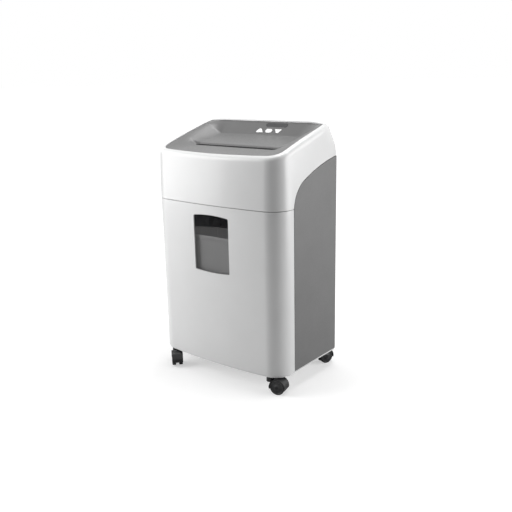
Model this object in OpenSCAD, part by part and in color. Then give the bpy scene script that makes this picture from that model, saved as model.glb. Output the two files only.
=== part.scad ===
// Cross-cut paper shredder on casters: a cutting head over a pull-out bin.
// Millimetres. +Z up, the bin front faces -Y, +X is to the right seen from the front.
// The origin is on the floor under the middle of the machine.

/* [Cabinet] */
// Width of the cabinet
body_w = 350; // [340:1:360]
// Depth of the cabinet
body_d = 226; // [220:1:232]
// Height of the cabinet's underside over the floor
leg_gap = 37; // [36:0.5:38]
// Height of the joint line between the bin front and the head
seam_z = 396; // [392:1:400]
// Width of the joint lines between covers
seam_gap = 1.2; // [0.8:0.1:1.6]
// Thickness of the moulded covers
wall = 3; // [2.5:0.1:3.5]
// Radius of the bowed front seen from above
bow_r = 1323; // [1200:1:1500]
// Radius of the two front corners
corner_r = 43; // [40:1:46]
// Radius of the two rear corners
rear_r = 6; // [4:0.5:8]

/* [Side panels] */
// Front edge of the side panels, from the middle of the cabinet
side_y = -52; // [-54:1:-50]
// Radius of the tight arc at the panel's upper front corner
side_arc_r = 66; // [60:1:72]
// Height of the middle of that arc
side_arc_z = 390; // [386:1:394]
// Angle at which the tight arc hands over to the long one
side_join = 25; // [20:1:30]
// Radius of the long arc along the panel's top
side_long_r = 450; // [400:10:500]

/* [Head] */
// Height of the rim at the front
rim_front_z = 509; // [506:1:512]
// Place where the rim begins to climb faster
shoulder_y = -50; // [-55:1:-45]
// Height of the rim there
shoulder_z = 521.6; // [520:0.1:524]
// Place of the ridge behind the keys
ridge_y = 87; // [85:1:89]
// Height of the ridge
ridge_z = 561; // [558:1:564]
// Radius of the rounded back of the head
back_r = 80; // [76:1:84]
// Width of the level part of the feed deck, each side of the middle
deck_flat = 105; // [98:1:112]
// Height of the feed deck at the paper slot
slot_z = 513; // [512:0.5:514]
// Height of the feed deck where the key slope begins
slope_z = 528; // [526:0.5:530]
// Place where the key slope begins
slope_y = 60; // [58:1:62]
// Length of the paper slot
slot_l = 226; // [222:1:228]
// Width of the paper slot
slot_w = 5; // [4.6:0.1:5.4]

/* [Window and bin] */
// Width of the window
window_w = 97; // [90:1:102]
// Lower edge of the window
window_z0 = 248; // [246:1:256]
// Upper edge of the window
window_z1 = 375; // [369:1:377]
// Height of the bin's front wall
bin_top = 326; // [320:1:332]

/* [Cutting mechanism] */
// Height of the cutter shafts
shaft_z = 440; // [438:1:441]
// Radius of a cutting disc
disc_r = 21; // [20.5:0.1:21.2]
// Backlash of the gears along the pitch circle
backlash = 0.24; // [0.2:0.01:0.3]

/* [Casters] */
// Radius of a caster wheel
wheel_r = 16.5; // [16:0.1:17]
// Distance of the wheel axle behind the swivel axis
trail = 19; // [17:0.5:20]

/* [Hidden] */
$fn = 64;
EPS = 0.02;

half_w = body_w / 2;
half_d = body_d / 2;

// Plan outline: centres of the bow and of the front corners, and where the two arcs meet
bow_y = bow_r - half_d;
corner_x = half_w - corner_r;
corner_y = bow_y - sqrt(pow(bow_r - corner_r, 2) - pow(corner_x, 2));
corner_turn = atan(corner_x / (bow_y - corner_y));

// Side panel outline in the YZ plane
arc_y = side_y + side_arc_r;
join_y = arc_y - side_arc_r * sin(side_join);
join_z = side_arc_z + side_arc_r * cos(side_join);
long_y = join_y + side_long_r * sin(side_join);
long_z = join_z - side_long_r * cos(side_join);

// Side view of the head: slopes of the two rim lines and the middle of the rounded back
front_slope = (shoulder_z - rim_front_z) / (shoulder_y + half_d);
rim_slope = (ridge_z - shoulder_z) / (ridge_y - shoulder_y);
back_y = half_d - back_r;
back_z = ridge_z - sqrt(pow(back_r, 2) - pow(ridge_y - back_y, 2));

// Feed deck
deck_t = 2.5;
deck_lip = 1.2;
deck_fit = 0.3;
slot_y = -19;
slope_angle = atan((ridge_z - deck_lip - slope_z) / (ridge_y - slope_y));

// Heights of the levels inside the cabinet
plate_top = leg_gap + 3;
panel_z0 = plate_top + 0.8;
shelf_z0 = seam_z + 1;
shelf_z1 = shelf_z0 + 3;
liner_x = 165;
liner_t = 1.5;
liner_y0 = -48;
liner_y1 = 105;

// Bin
bin_z0 = 58;
bin_half_w = 150;
bin_y0 = -104;
bin_y1 = 80;
bin_r = 38;
bin_t = 2.5;
bin_rear_top = 302;

// Cutting mechanism: the two equal gears at the shaft ends set the distance between the shafts
sync_m = 1.5;
sync_n = 24;
shaft_gap = sync_m * sync_n;
front_shaft_y = slot_y - shaft_gap / 2;
rear_shaft_y = slot_y + shaft_gap / 2;
plate_x = 116;
plate_t = 3;
journal_r = 5;
bush_r = 8;
shaft_r = 9;
spacer_r = 14;
running = 0.05;
disc_t = 2.7;
disc_n = 38;
disc_pitch = 6;
disc_x0 = -(disc_n * disc_pitch + 0.3) / 2;
stack_half = 115.2;

// Gear train in the YZ plane: modules, tooth numbers and axes
drive_m = 1.25;
drive_n = 44;
small_n = 14;
motor_m = 1;
large_n = 48;
pinion_n = 12;
motor_y = 60;
motor_z = 452;
idler_reach = drive_m * (drive_n + small_n) / 2;
motor_reach = motor_m * (large_n + pinion_n) / 2;
train_len = norm([motor_y - rear_shaft_y, motor_z - shaft_z]);
train_turn = atan2(motor_z - shaft_z, motor_y - rear_shaft_y);
idler_along = (pow(idler_reach, 2) - pow(motor_reach, 2) + pow(train_len, 2)) / (2 * train_len);
idler_off = sqrt(pow(idler_reach, 2) - pow(idler_along, 2));
idler_y = rear_shaft_y + idler_along * cos(train_turn) + idler_off * sin(train_turn);
idler_z = shaft_z + idler_along * sin(train_turn) - idler_off * cos(train_turn);
drive_turn = atan2(idler_z - shaft_z, idler_y - rear_shaft_y);
pinion_turn = atan2(motor_z - idler_z, motor_y - idler_y);
gear_w = 8;
axle_r = 4;
gear_a = 126;
gear_b = 136;
sync_x = 122;

// Motor
motor_r = 30;
motor_x0 = -plate_x;
motor_x1 = -30;
motor_shaft_r = 3;

// Keys on the slope: places across the head and along the slope
key_pitch = 25;
key_mid_x = 23;
key_up = 12.5;
lens_up = 29;
lens_x = 38;
lens_l = 60;
lens_w = 10;
board_drop = 13;

// Casters: swivel axes and the directions in which the wheels trail
stem_r = 5.5;
caster_x = 140;
caster_front_y = -94;
caster_rear_y = 89.3;
caster_turn = [-43, 14, 158, 70];
wheel_w = 9;
web_t = 6.4;

// Rear panel fittings
inlet_x = 105;
inlet_z = 440;
rocker_x = 60;
rocker_r = 9;
rocker_tilt = 8;
plunger_z = 200;

// ---------- outlines ----------

// Plan outline of the cabinet, moved inwards by i
module plan(i = 0) {
    reach_x = corner_x + (corner_r - i) * sin(corner_turn);
    back_corner = max(rear_r - i, 1);
    translate([-(half_w - i), corner_y])
        square([2 * (half_w - i), half_d - i - back_corner - corner_y]);
    translate([-(half_w - i - back_corner), 0])
        square([2 * (half_w - i - back_corner), half_d - i]);
    for (s = [-1, 1]) {
        translate([s * corner_x, corner_y]) circle(corner_r - i);
        translate([s * (half_w - i - back_corner), half_d - i - back_corner]) circle(back_corner);
    }
    intersection() {
        translate([0, bow_y]) circle(bow_r - i, $fn = 720);
        translate([-reach_x, i - half_d]) square([2 * reach_x, corner_y + half_d - i]);
    }
}

// Wall of thickness t that follows the plan outline, i in from the outside
module plan_ring(i, t) {
    difference() {
        plan(i);
        plan(i + t);
    }
}

// Side panel outline in the YZ plane, grown by g
module side_shape(g = 0) {
    translate([side_y - g, 0]) square([half_d - side_y + g + 1, side_arc_z]);
    intersection() {
        translate([arc_y, side_arc_z]) circle(side_arc_r + g, $fn = 128);
        translate([side_y - g, side_arc_z - 1]) square([join_y - side_y + g, side_arc_r + g + 1]);
    }
    intersection() {
        translate([long_y, long_z]) circle(side_long_r + g, $fn = 360);
        translate([join_y - EPS, side_arc_z - 1]) square([half_d - join_y + 1, side_long_r]);
    }
}

// Side view of the head in the YZ plane, moved inwards by i
module head_shape(i = 0) {
    drop = i / cos(atan(rim_slope));
    intersection() {
        polygon([
            [-half_d - 1, seam_z - 10],
            [-half_d - 1, rim_front_z - front_slope - drop],
            [shoulder_y, shoulder_z - drop],
            [half_d, shoulder_z + rim_slope * (half_d - shoulder_y) - drop],
            [half_d, seam_z - 10]
        ]);
        union() {
            translate([back_y, back_z]) circle(back_r - i, $fn = 256);
            translate([-half_d - 2, seam_z - 20]) square([half_d + 2 + back_y, 300]);
            translate([-half_d - 2, seam_z - 20]) square([2 * half_d + 2 - i, back_z - seam_z + 20]);
        }
    }
}

// Rectangle with round corners, about its middle
module round_rect(l, w, r) {
    square([l - 2 * r, w], center = true);
    square([l, w - 2 * r], center = true);
    for (a = [-1, 1], b = [-1, 1])
        translate([a * (l / 2 - r), b * (w / 2 - r)]) circle(r);
}

// Window outline in the XZ plane, grown by g, with gently arched top and bottom edges
module window_shape(g = 0) {
    arch_top_r = 330;
    arch_low_r = 480;
    mid_z = (window_z0 + window_z1) / 2;
    intersection() {
        translate([0, mid_z]) round_rect(window_w + 2 * g, window_z1 - window_z0 + 2 * g, 6 + g);
        translate([0, window_z1 + g - arch_top_r]) circle(arch_top_r, $fn = 360);
        translate([0, window_z0 - g + arch_low_r]) circle(arch_low_r, $fn = 360);
    }
}

// Involute gear outline: n teeth of module m, one tooth pointing at angle turn
function involute(a) = tan(a) * 180 / PI - a;
function tooth_half(r, n, m) =
    let (pitch_r = n * m / 2, base_r = pitch_r * cos(20), q = max(r, base_r))
    90 / n - backlash / 4 / pitch_r * 180 / PI + involute(20) - involute(acos(base_r / q));
function gear_radii(n, m) =
    let (pitch_r = n * m / 2, base_r = pitch_r * cos(20), root_r = pitch_r - 1.15 * m)
    root_r < base_r ? [root_r, base_r, pitch_r, pitch_r + 0.85 * m] : [root_r, pitch_r, pitch_r + 0.85 * m];
function gear_points(n, m, turn) =
    let (radii = gear_radii(n, m), last = len(radii) - 1)
    [for (k = [0 : n - 1], j = [0 : 2 * last + 1])
        let (
            up = j <= last,
            r = up ? radii[j] : radii[2 * last + 1 - j],
            a = turn + 360 * k / n + (up ? -1 : 1) * tooth_half(r, n, m)
        )
        [r * cos(a), r * sin(a)]];

// ---------- placing ----------

// Extrudes a YZ outline along X from x0 to x1
module along_x(x0, x1) {
    translate([x0, 0, 0]) rotate([90, 0, 90]) linear_extrude(x1 - x0) children();
}

// Extrudes an XZ outline along Y from y0 to y1
module along_y(y0, y1) {
    translate([0, y1, 0]) rotate([90, 0, 0]) linear_extrude(y1 - y0) children();
}

// Round bar along X at a place in the YZ plane
module bar_x(x0, x1, y, z, r) {
    translate([x0, y, z]) rotate([0, 90, 0]) cylinder(h = x1 - x0, r = r);
}

// Block between two opposite corners
module block(a, b) {
    translate(a) cube(b - a);
}

// Places children on the key slope: x across, s up the slope, local Z out of the surface
module on_slope(x, s) {
    translate([x, slope_y, slope_z]) rotate([slope_angle, 0, 0]) translate([0, s, 0]) children();
}

// Places children at a caster's swivel axis with local +X along its trail
module at_caster(side, end_y, turn) {
    translate([side * caster_x, end_y, 0]) rotate(turn) children();
}

// ---------- cabinet ----------

module base_plate() {
    color("gainsboro") difference() {
        translate([0, 0, leg_gap]) linear_extrude(plate_top - leg_gap) plan(1.5);
        for (s = [-1, 1], y = [caster_front_y, caster_rear_y])
            translate([s * caster_x, y, leg_gap - 1]) cylinder(h = 10, r = stem_r);
    }
}

module caster_sockets() {
    color("dimgray") for (s = [-1, 1], y = [caster_front_y, caster_rear_y])
        translate([s * caster_x, y, plate_top]) difference() {
            cylinder(h = 14, r = 7.6);
            translate([0, 0, -1]) cylinder(h = 12, r = stem_r);
        }
}

// Sheet wall between the bin and a side panel, bent inwards at the top to carry the shelf
module inner_wall(s) {
    flange = 10;
    color("dimgray") difference() {
        union() {
            block([s > 0 ? liner_x : -liner_x - liner_t, liner_y0, plate_top],
                  [s > 0 ? liner_x + liner_t : -liner_x, liner_y1, shelf_z0]);
            block([s > 0 ? liner_x - flange : -liner_x, liner_y0, shelf_z0 - liner_t],
                  [s > 0 ? liner_x : -liner_x + flange, liner_y1, shelf_z0]);
        }
        for (y = [0, 60])
            translate([s * liner_x, y, 345]) rotate([0, 90, 0]) cylinder(h = 20, r = 12, center = true);
    }
}

module side_panel(s) {
    color("gray") intersection() {
        translate([0, 0, panel_z0]) linear_extrude(rim_front_z - panel_z0) plan_ring(0, wall);
        along_x(s > 0 ? half_w - 10 : -half_w - 1, s > 0 ? half_w + 1 : -half_w + 10) side_shape();
    }
}

module rear_panel() {
    top = long_z + sqrt(pow(side_long_r, 2) - pow(half_d - long_y, 2));
    color("gray") difference() {
        block([-half_w + 11, half_d - wall, panel_z0], [half_w - 11, half_d, top]);
        // Vent slots for the motor
        for (i = [0 : 9])
            translate([-110 + i * 10, half_d - 2 * wall, 425]) cube([4, 4 * wall, 40]);
        // Seats of the power inlet and of the rocker switch
        translate([inlet_x, 0, inlet_z]) {
            along_y(half_d - 1.6, half_d + 1) round_rect(50, 30, 3);
            along_y(80, half_d + 1) round_rect(28, 21, 2);
        }
        translate([rocker_x, 0, inlet_z]) {
            along_y(half_d - 1.6, half_d + 1) round_rect(26, 30, 3);
            along_y(80, half_d + 1) round_rect(20, 24, 2);
        }
        screw_places() translate([0, half_d + 1, 0]) rotate([90, 0, 0]) cylinder(h = 2.8, r = 4.5);
    }
}

// Places of the rear panel's screws
module screw_places() {
    for (x = [-150, 150], z = [60, 230, 400, 468]) translate([x, 0, z]) children();
}

module panel_screws() {
    color("silver") screw_places() translate([0, half_d - 0.2, 0]) rotate([90, 0, 0]) difference() {
        cylinder(h = 1.6, r = 4);
        for (turn = [0, 90])
            rotate(turn) translate([-2.4, -0.6, -1]) cube([4.8, 1.2, 1.9]);
    }
}

module mechanism_shelf() {
    color("dimgray") difference() {
        translate([0, 0, shelf_z0]) linear_extrude(shelf_z1 - shelf_z0) plan(wall + 0.2);
        block([-112, front_shaft_y - 22, shelf_z0 - 1], [112, rear_shaft_y + 22, shelf_z1 + 1]);
    }
}

// Rails the bin slides on, each with a raised outer edge that keeps the bin straight
module bin_rails() {
    outer = 162;
    edge = bin_half_w + 2;
    color("dimgray") for (s = [0, 1]) mirror([s, 0, 0]) {
        block([118, -55, plate_top], [outer, 78, bin_z0 - 0.4]);
        block([edge, -55, bin_z0 - 0.4], [outer, 78, bin_z0 + 8]);
    }
}

// ---------- head ----------

module head_cover() {
    color("gainsboro") difference() {
        intersection() {
            translate([0, 0, seam_z + seam_gap / 2]) linear_extrude(ridge_z - seam_z + 20) plan();
            along_x(-half_w - 1, half_w + 1) head_shape();
        }
        intersection() {
            translate([0, 0, seam_z - 1]) linear_extrude(ridge_z - seam_z) plan(wall);
            along_x(-half_w, half_w) head_shape(wall);
        }
        // Opening that takes the feed deck
        intersection() {
            translate([0, 0, seam_z + 20]) linear_extrude(ridge_z) plan(wall);
            block([-half_w, -half_d, seam_z + 20], [half_w, ridge_y + deck_fit, ridge_z + 20]);
        }
        along_x(-half_w - 2, half_w + 2) side_shape(seam_gap);
    }
}

// Height of the rim and of the deck's middle line, and the blend between them near the sides
function rim_height(y) =
    shoulder_z + (y < shoulder_y ? front_slope : rim_slope) * (y - shoulder_y);
function middle_height(y) =
    y < slot_y ? slot_z + (slot_z - rim_front_z + deck_lip) / (slot_y + half_d) * (y - slot_y)
    : y < slope_y ? slot_z + (slope_z - slot_z) / (slope_y - slot_y) * (y - slot_y)
    : slope_z + (y - slope_y) * tan(slope_angle);
function smooth(t) = let (c = min(max(t, 0), 1)) c * c * (3 - 2 * c);
function deck_height(x, y) =
    let (
        edge = half_w - wall - deck_fit,
        t = smooth((abs(x) - deck_flat) / (edge - deck_flat)),
        side = rim_height(y) - deck_lip
    )
    middle_height(y) * (1 - t) + side * t;

// Front edge of the deck at x: the bow in the middle and the corner arcs at the sides
function deck_front(x) =
    let (i = wall + deck_fit, reach = corner_x + (corner_r - i) * sin(corner_turn))
    abs(x) < reach ? bow_y - sqrt(pow(bow_r - i, 2) - x * x)
    : corner_y - sqrt(max(pow(corner_r - i, 2) - pow(abs(x) - corner_x, 2), 0));

module deck_skin(nx = 30, ny = 22) {
    edge = half_w - wall - deck_fit;
    cols = [for (i = [0 : nx]) edge * sin(90 * (2 * i / nx - 1))];
    function place(i, j) = deck_front(cols[i]) + (ridge_y - deck_front(cols[i])) * j / ny;
    function layer(drop) = [for (j = [0 : ny], i = [0 : nx])
        let (y = place(i, j)) [cols[i], y, deck_height(cols[i], y) - drop]];
    row = nx + 1;
    size = row * (ny + 1);
    top_faces = [for (j = [0 : ny - 1], i = [0 : nx - 1]) let (a = j * row + i)
        each [[a, a + row, a + row + 1], [a, a + row + 1, a + 1]]];
    low_faces = [for (f = top_faces) [f[0] + size, f[2] + size, f[1] + size]];
    front = [for (i = [0 : nx - 1]) each wall_faces(i, i + 1, size)];
    back = [for (i = [0 : nx - 1]) each wall_faces(ny * row + i + 1, ny * row + i, size)];
    left = [for (j = [0 : ny - 1]) each wall_faces((j + 1) * row, j * row, size)];
    right = [for (j = [0 : ny - 1]) each wall_faces(j * row + nx, (j + 1) * row + nx, size)];
    polyhedron(concat(layer(0), layer(deck_t)), concat(top_faces, low_faces, front, back, left, right));
}
function wall_faces(a, b, size) = [[a, b, b + size], [a, b + size, a + size]];

module feed_deck() {
    clear = 0.4;
    color("darkgray") difference() {
        deck_skin();
        translate([0, slot_y, slot_z]) cube([slot_l, slot_w, 40], center = true);
        for (k = [-1 : 1])
            on_slope(key_mid_x + k * key_pitch, key_up)
                translate([0, 0, -8]) linear_extrude(20) key_outline(k, clear);
        on_slope(lens_x, lens_up)
            translate([0, 0, -8]) linear_extrude(20) stadium(lens_l + clear, lens_w + clear);
    }
}

// Long shape with round ends
module stadium(l, w) {
    square([l - w, w], center = true);
    for (s = [-1, 1]) translate([s * (l - w) / 2, 0]) circle(w / 2);
}

// Key outline grown by g: a triangle up, a disc or a triangle down
module key_outline(k, g = 0) {
    if (k == 0) stadium(18 + 2 * g, 10 + 2 * g);
    else {
        tip = -k * (5 + 1.3 * g);
        reach = 10 + 2 * g;
        polygon([[-reach, -tip], [reach, -tip], [3.2, tip], [-3.2, tip]]);
    }
}

module key_cap(k) {
    color("white") on_slope(key_mid_x + k * key_pitch, key_up) {
        translate([0, 0, -2.9]) linear_extrude(4.1) key_outline(k);
        translate([0, 0, -4]) linear_extrude(1.1) key_outline(k, 1.3);
        translate([0, 0, -9.2]) cylinder(h = 5.2, r = 2.2);
    }
}

module display_lens() {
    color("darkslategray") on_slope(lens_x, lens_up) {
        translate([0, 0, -1.6]) linear_extrude(2) stadium(lens_l, lens_w);
        translate([0, 0, -3]) linear_extrude(1.4) stadium(lens_l + 3, lens_w + 2);
    }
}

module key_board() {
    color("seagreen") {
        on_slope(key_mid_x, 0) {
            translate([-40, 4, -board_drop - 1.6]) cube([92, 32, 1.6]);
            for (x = [-36, 48]) translate([x, 20, -board_drop]) cylinder(h = board_drop - 2, r = 2.5);
            for (k = [-1 : 1]) translate([k * key_pitch, key_up, -board_drop]) cylinder(h = 2.2, r = 2.8);
            for (i = [0 : 3]) translate([-10 + i * 16, lens_up, -board_drop]) cylinder(h = 8, r = 2);
        }
    }
}

// ---------- cutting mechanism ----------

module throat_guide() {
    color("black") difference() {
        block([-plate_x, slot_y - 4.5, shaft_z + 23], [plate_x, slot_y + 4.5, slot_z - deck_t - 0.7]);
        block([-slot_l / 2, slot_y - slot_w / 2, shaft_z], [slot_l / 2, slot_y + slot_w / 2, slot_z]);
        block([-4, slot_y - 10, shaft_z + 30], [4, slot_y, shaft_z + 62]);
    }
}

module gear_side_plate() {
    color("silver") difference() {
        union() {
            along_x(-plate_x - plate_t, -plate_x) difference() {
                polygon([
                    [-68, shelf_z1], [-68, 474], [20, 474], [34, 486], [88, 486], [94, 478], [94, shelf_z1]
                ]);
                for (y = [front_shaft_y, rear_shaft_y]) translate([y, shaft_z]) circle(bush_r);
                translate([idler_y, idler_z]) circle(axle_r);
                translate([motor_y, motor_z]) circle(8);
            }
            block([-plate_x - 17, -60, shelf_z1], [-plate_x - plate_t, 90, shelf_z1 + plate_t]);
        }
        for (y = [-50, 20, 75]) translate([-plate_x - 11, y, shelf_z1 - 1]) cylinder(h = 6, r = 2.2);
    }
}

module board_side_plate() {
    color("silver") difference() {
        union() {
            along_x(plate_x, plate_x + plate_t) difference() {
                polygon([[-68, shelf_z1], [-68, 474], [30, 474], [30, shelf_z1]]);
                for (y = [front_shaft_y, rear_shaft_y]) translate([y, shaft_z]) circle(bush_r);
            }
            block([plate_x + plate_t, -60, shelf_z1], [plate_x + 17, 24, shelf_z1 + plate_t]);
        }
        for (y = [-50, 14]) translate([plate_x + 11, y, shelf_z1 - 1]) cylinder(h = 6, r = 2.2);
    }
}

module tie_rods() {
    color("silver") for (y = [-62, 25], z = [408, 467]) bar_x(-plate_x, plate_x, y, z, 4);
}

module shaft_bushes() {
    color("darkgoldenrod") for (s = [-1, 1], y = [front_shaft_y, rear_shaft_y])
        translate([s * plate_x, y, shaft_z]) rotate([0, s * 90, 0]) difference() {
            union() {
                cylinder(h = plate_t, r = bush_r);
                translate([0, 0, plate_t]) cylinder(h = 1.2, r = bush_r + 2);
            }
            translate([0, 0, -1]) cylinder(h = plate_t + 4, r = journal_r);
        }
}

// Comb of flat fingers that reach between the discs of one shaft; side is -1 in front and 1 behind
module stripper_comb(side, shaft_y, finger_x0) {
    play = 0.45;
    tip = shaft_y + side * (spacer_r + 0.8);
    root = shaft_y + side * (disc_r + 1.8);
    color("dimgray") {
        block([-plate_x, min(root, root + side * 4), shaft_z - 16],
              [plate_x, max(root, root + side * 4), shaft_z + 12]);
        for (i = [0 : disc_n - 1]) {
            x = finger_x0 + i * disc_pitch;
            block([x + play, min(tip, root + side), shaft_z - 5],
                  [x + disc_pitch - disc_t - play, max(tip, root + side), shaft_z + 5]);
        }
    }
}

// Stack of cutting discs and spacers turned from one outline, first disc at x0
module disc_stack(y, x0) {
    comb = [for (i = [0 : disc_n - 1]) let (a = x0 + i * disc_pitch, b = a + disc_t)
        each [[spacer_r, a], [disc_r, a], [disc_r, b], [spacer_r, b]]];
    color("lightslategray") translate([0, y, shaft_z]) rotate([0, 90, 0]) rotate_extrude()
        polygon(concat(
            [[shaft_r, -stack_half], [spacer_r, -stack_half]],
            comb,
            [[spacer_r, stack_half], [shaft_r, stack_half]]
        ));
}

// Cutter shaft: a thick middle between two journals
module cutter_shaft(y, left, right) {
    color("lightslategray") {
        bar_x(-stack_half, stack_half, y, shaft_z, shaft_r);
        bar_x(left, -stack_half, y, shaft_z, journal_r - running);
        bar_x(stack_half, right, y, shaft_z, journal_r - running);
    }
}

// Gear between x0 and x0 + gear_w with a bore
module gear(x0, y, z, n, m, turn, bore) {
    along_x(x0, x0 + gear_w) translate([y, z]) difference() {
        polygon(gear_points(n, m, turn));
        circle(bore);
    }
}

module rear_sync_gear() {
    color("slategray") gear(sync_x, rear_shaft_y, shaft_z, sync_n, sync_m, 180, journal_r);
}

module front_sync_gear() {
    color("slategray") gear(sync_x, front_shaft_y, shaft_z, sync_n, sync_m, 180 / sync_n, journal_r);
}

module drive_gear() {
    color("whitesmoke")
        gear(-gear_a - gear_w, rear_shaft_y, shaft_z, drive_n, drive_m, drive_turn, journal_r);
}

module idler_gear() {
    bore = axle_r + running;
    mesh = drive_turn + 180 + 180 / small_n;
    color("whitesmoke") {
        gear(-gear_a - gear_w, idler_y, idler_z, small_n, drive_m, mesh, bore);
        gear(-gear_b - gear_w, idler_y, idler_z, large_n, motor_m, pinion_turn, bore);
        along_x(-gear_b, -gear_a - gear_w) translate([idler_y, idler_z]) difference() {
            circle(7);
            circle(bore);
        }
    }
}

module idler_axle() {
    color("silver") {
        bar_x(-gear_b - gear_w - 1, -plate_x, idler_y, idler_z, axle_r);
        bar_x(-gear_b - gear_w - 3, -gear_b - gear_w - 1, idler_y, idler_z, 6.5);
    }
}

// ---------- motor ----------

module motor_can() {
    color("silver") translate([0, motor_y, motor_z]) rotate([0, 90, 0]) difference() {
        translate([0, 0, motor_x0]) cylinder(h = motor_x1 - motor_x0, r = motor_r);
        translate([0, 0, motor_x0 + 4]) cylinder(h = motor_x1 - motor_x0 - 8, r = motor_r - 2);
        translate([0, 0, motor_x0 - 1]) cylinder(h = 200, r = motor_shaft_r + running);
        for (turn = [0 : 45 : 315])
            rotate(turn) translate([18, 0, motor_x1 - 6]) cylinder(h = 8, r = 4);
    }
}

module motor_stator() {
    color("peru") translate([0, motor_y, motor_z]) rotate([0, 90, 0]) difference() {
        translate([0, 0, motor_x0 + 20]) cylinder(h = 50, r = motor_r - 2);
        translate([0, 0, motor_x0 + 19]) cylinder(h = 52, r = 16);
    }
}

module motor_rotor() {
    mesh = pinion_turn + 180 + 180 / pinion_n;
    color("slategray") {
        bar_x(-gear_b - gear_w - 2, -8, motor_y, motor_z, motor_shaft_r);
        bar_x(motor_x0 + 16, motor_x0 + 74, motor_y, motor_z, 15.4);
        gear(-gear_b - gear_w, motor_y, motor_z, pinion_n, motor_m, mesh, motor_shaft_r - 1);
    }
}

module motor_fan() {
    color("black") translate([-24, motor_y, motor_z]) rotate([0, 90, 0]) difference() {
        union() {
            cylinder(h = 12, r = 8);
            cylinder(h = 1.5, r = 26);
            for (turn = [0 : 40 : 320])
                rotate(turn) translate([6, -0.8, 0]) cube([20, 1.6, 10]);
        }
        translate([0, 0, -1]) cylinder(h = 20, r = motor_shaft_r);
    }
}

module motor_cradle() {
    color("dimgray") difference() {
        block([-62, motor_y - 26, shelf_z1], [-46, motor_y + 26, motor_z - 10]);
        bar_x(-70, -40, motor_y, motor_z, motor_r);
        bar_x(-70, -40, motor_y - 16, shelf_z1 + 8, 4);
    }
}

// ---------- electrics ----------

module control_board() {
    color("seagreen") difference() {
        union() {
            block([20, 34, shelf_z1 + 10], [108, 84, shelf_z1 + 11.6]);
            for (x = [25, 103], y = [39, 79]) translate([x, y, shelf_z1]) cylinder(h = 10, r = 3);
        }
        for (x = [25, 103], y = [39, 79]) translate([x, y, shelf_z1 + 4]) cylinder(h = 10, r = 1.5);
    }
}

module board_parts() {
    top = shelf_z1 + 11.6;
    color("black") {
        block([34, 46, top], [50, 58, top + 14]);
        block([56, 44, top], [72, 60, top + 16]);
        block([80, 44, top], [98, 47, top + 22]);
        for (i = [0 : 4]) block([80 + i * 4, 47, top], [81 + i * 4, 56, top + 22]);
        for (x = [36, 50, 64]) translate([x, 72, top]) cylinder(h = 12, r = 4);
        block([76, 68, top], [98, 76, top + 8]);
    }
}

module motor_capacitor() {
    color("whitesmoke") {
        translate([134, 66, shelf_z1]) cylinder(h = 52, r = 15);
        for (s = [-1, 1]) translate([134 + s * 5, 66, shelf_z1 + 52]) cylinder(h = 4, r = 1.5);
    }
}

module power_inlet() {
    color("black") translate([inlet_x, 0, inlet_z]) {
        difference() {
            union() {
                along_y(half_d - 1.6, half_d - 0.1) round_rect(49.4, 29.4, 3);
                along_y(86, half_d - 1.6) round_rect(27.6, 20.6, 2);
            }
            along_y(half_d - 17, half_d + 1) round_rect(24, 16.5, 2);
        }
        for (pin = [[-7, -3], [0, 1], [7, -3]])
            block([pin[0] - 1, half_d - 18, pin[1]], [pin[0] + 1, half_d - 4, pin[1] + 4]);
    }
}

module switch_bezel() {
    color("black") translate([rocker_x, 0, inlet_z]) difference() {
        union() {
            along_y(half_d - 1.6, half_d - 0.1) round_rect(25.4, 29.4, 3);
            along_y(86, half_d - 1.6) round_rect(19.6, 23.6, 2);
        }
        along_x(-7.4, 7.4) translate([half_d - 10, 0]) circle(rocker_r + 0.4);
        block([-7.4, half_d - 10, -rocker_r - 0.4], [7.4, half_d + 1, rocker_r + 0.4]);
        bar_x(-9, 9, half_d - 10, 0, 1.5);
    }
}

module power_rocker() {
    color("firebrick") translate([rocker_x, half_d - 10, inlet_z]) {
        along_x(-7, 7) rotate(-rocker_tilt) intersection() {
            circle(rocker_r);
            polygon([[-rocker_r, -8], [7.5, -12], [5.2, 0], [7.5, 12], [-rocker_r, 8]]);
        }
        bar_x(-8.6, 8.6, 0, 0, 1.5 - running);
    }
}

module interlock_switch() {
    color("black") difference() {
        block([-14, 90, plunger_z - 10], [14, half_d - wall, plunger_z + 10]);
        along_y(88, 106) translate([0, plunger_z]) circle(3 + running);
    }
}

module interlock_plunger() {
    color("firebrick") along_y(bin_y1 + 0.3, 100) translate([0, plunger_z]) circle(3);
}

module sensor_bracket() {
    color("black") difference() {
        union() {
            block([-9, slot_y - 24, shaft_z + 36], [9, slot_y - 4.5, shaft_z + 39]);
            for (x = [-7, 5])
                block([x, slot_y - 20, shaft_z + 39], [x + 2, slot_y - 10, shaft_z + 50]);
        }
        block([-4, slot_y - 16, shaft_z + 30], [4, slot_y, shaft_z + 40]);
        bar_x(-10, 10, slot_y - 15, shaft_z + 45, 1.5);
    }
}

module sensor_lever() {
    color("whitesmoke") translate([0, slot_y - 15, shaft_z + 45]) {
        bar_x(-6.8, 6.8, 0, 0, 1.5 - running);
        bar_x(-2, 2, 0, 0, 3);
        rotate([-14, 0, 0]) block([-1.5, 0, -1.2], [1.5, 15.6, 1.2]);
    }
}

// ---------- bin ----------

module bin_plan(i = 0) {
    r = bin_r - i;
    hull_x = bin_half_w - i;
    translate([-hull_x, bin_y0 + bin_r]) square([2 * hull_x, bin_y1 - i - 8 - bin_y0 - bin_r]);
    translate([-hull_x + r, bin_y0 + i]) square([2 * (hull_x - r), 100]);
    translate([-hull_x + 8, 0]) square([2 * (hull_x - 8), bin_y1 - i]);
    for (s = [-1, 1]) {
        translate([s * (hull_x - r), bin_y0 + bin_r]) circle(r);
        translate([s * (hull_x - 8), bin_y1 - i - 8]) circle(8);
    }
}

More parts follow.
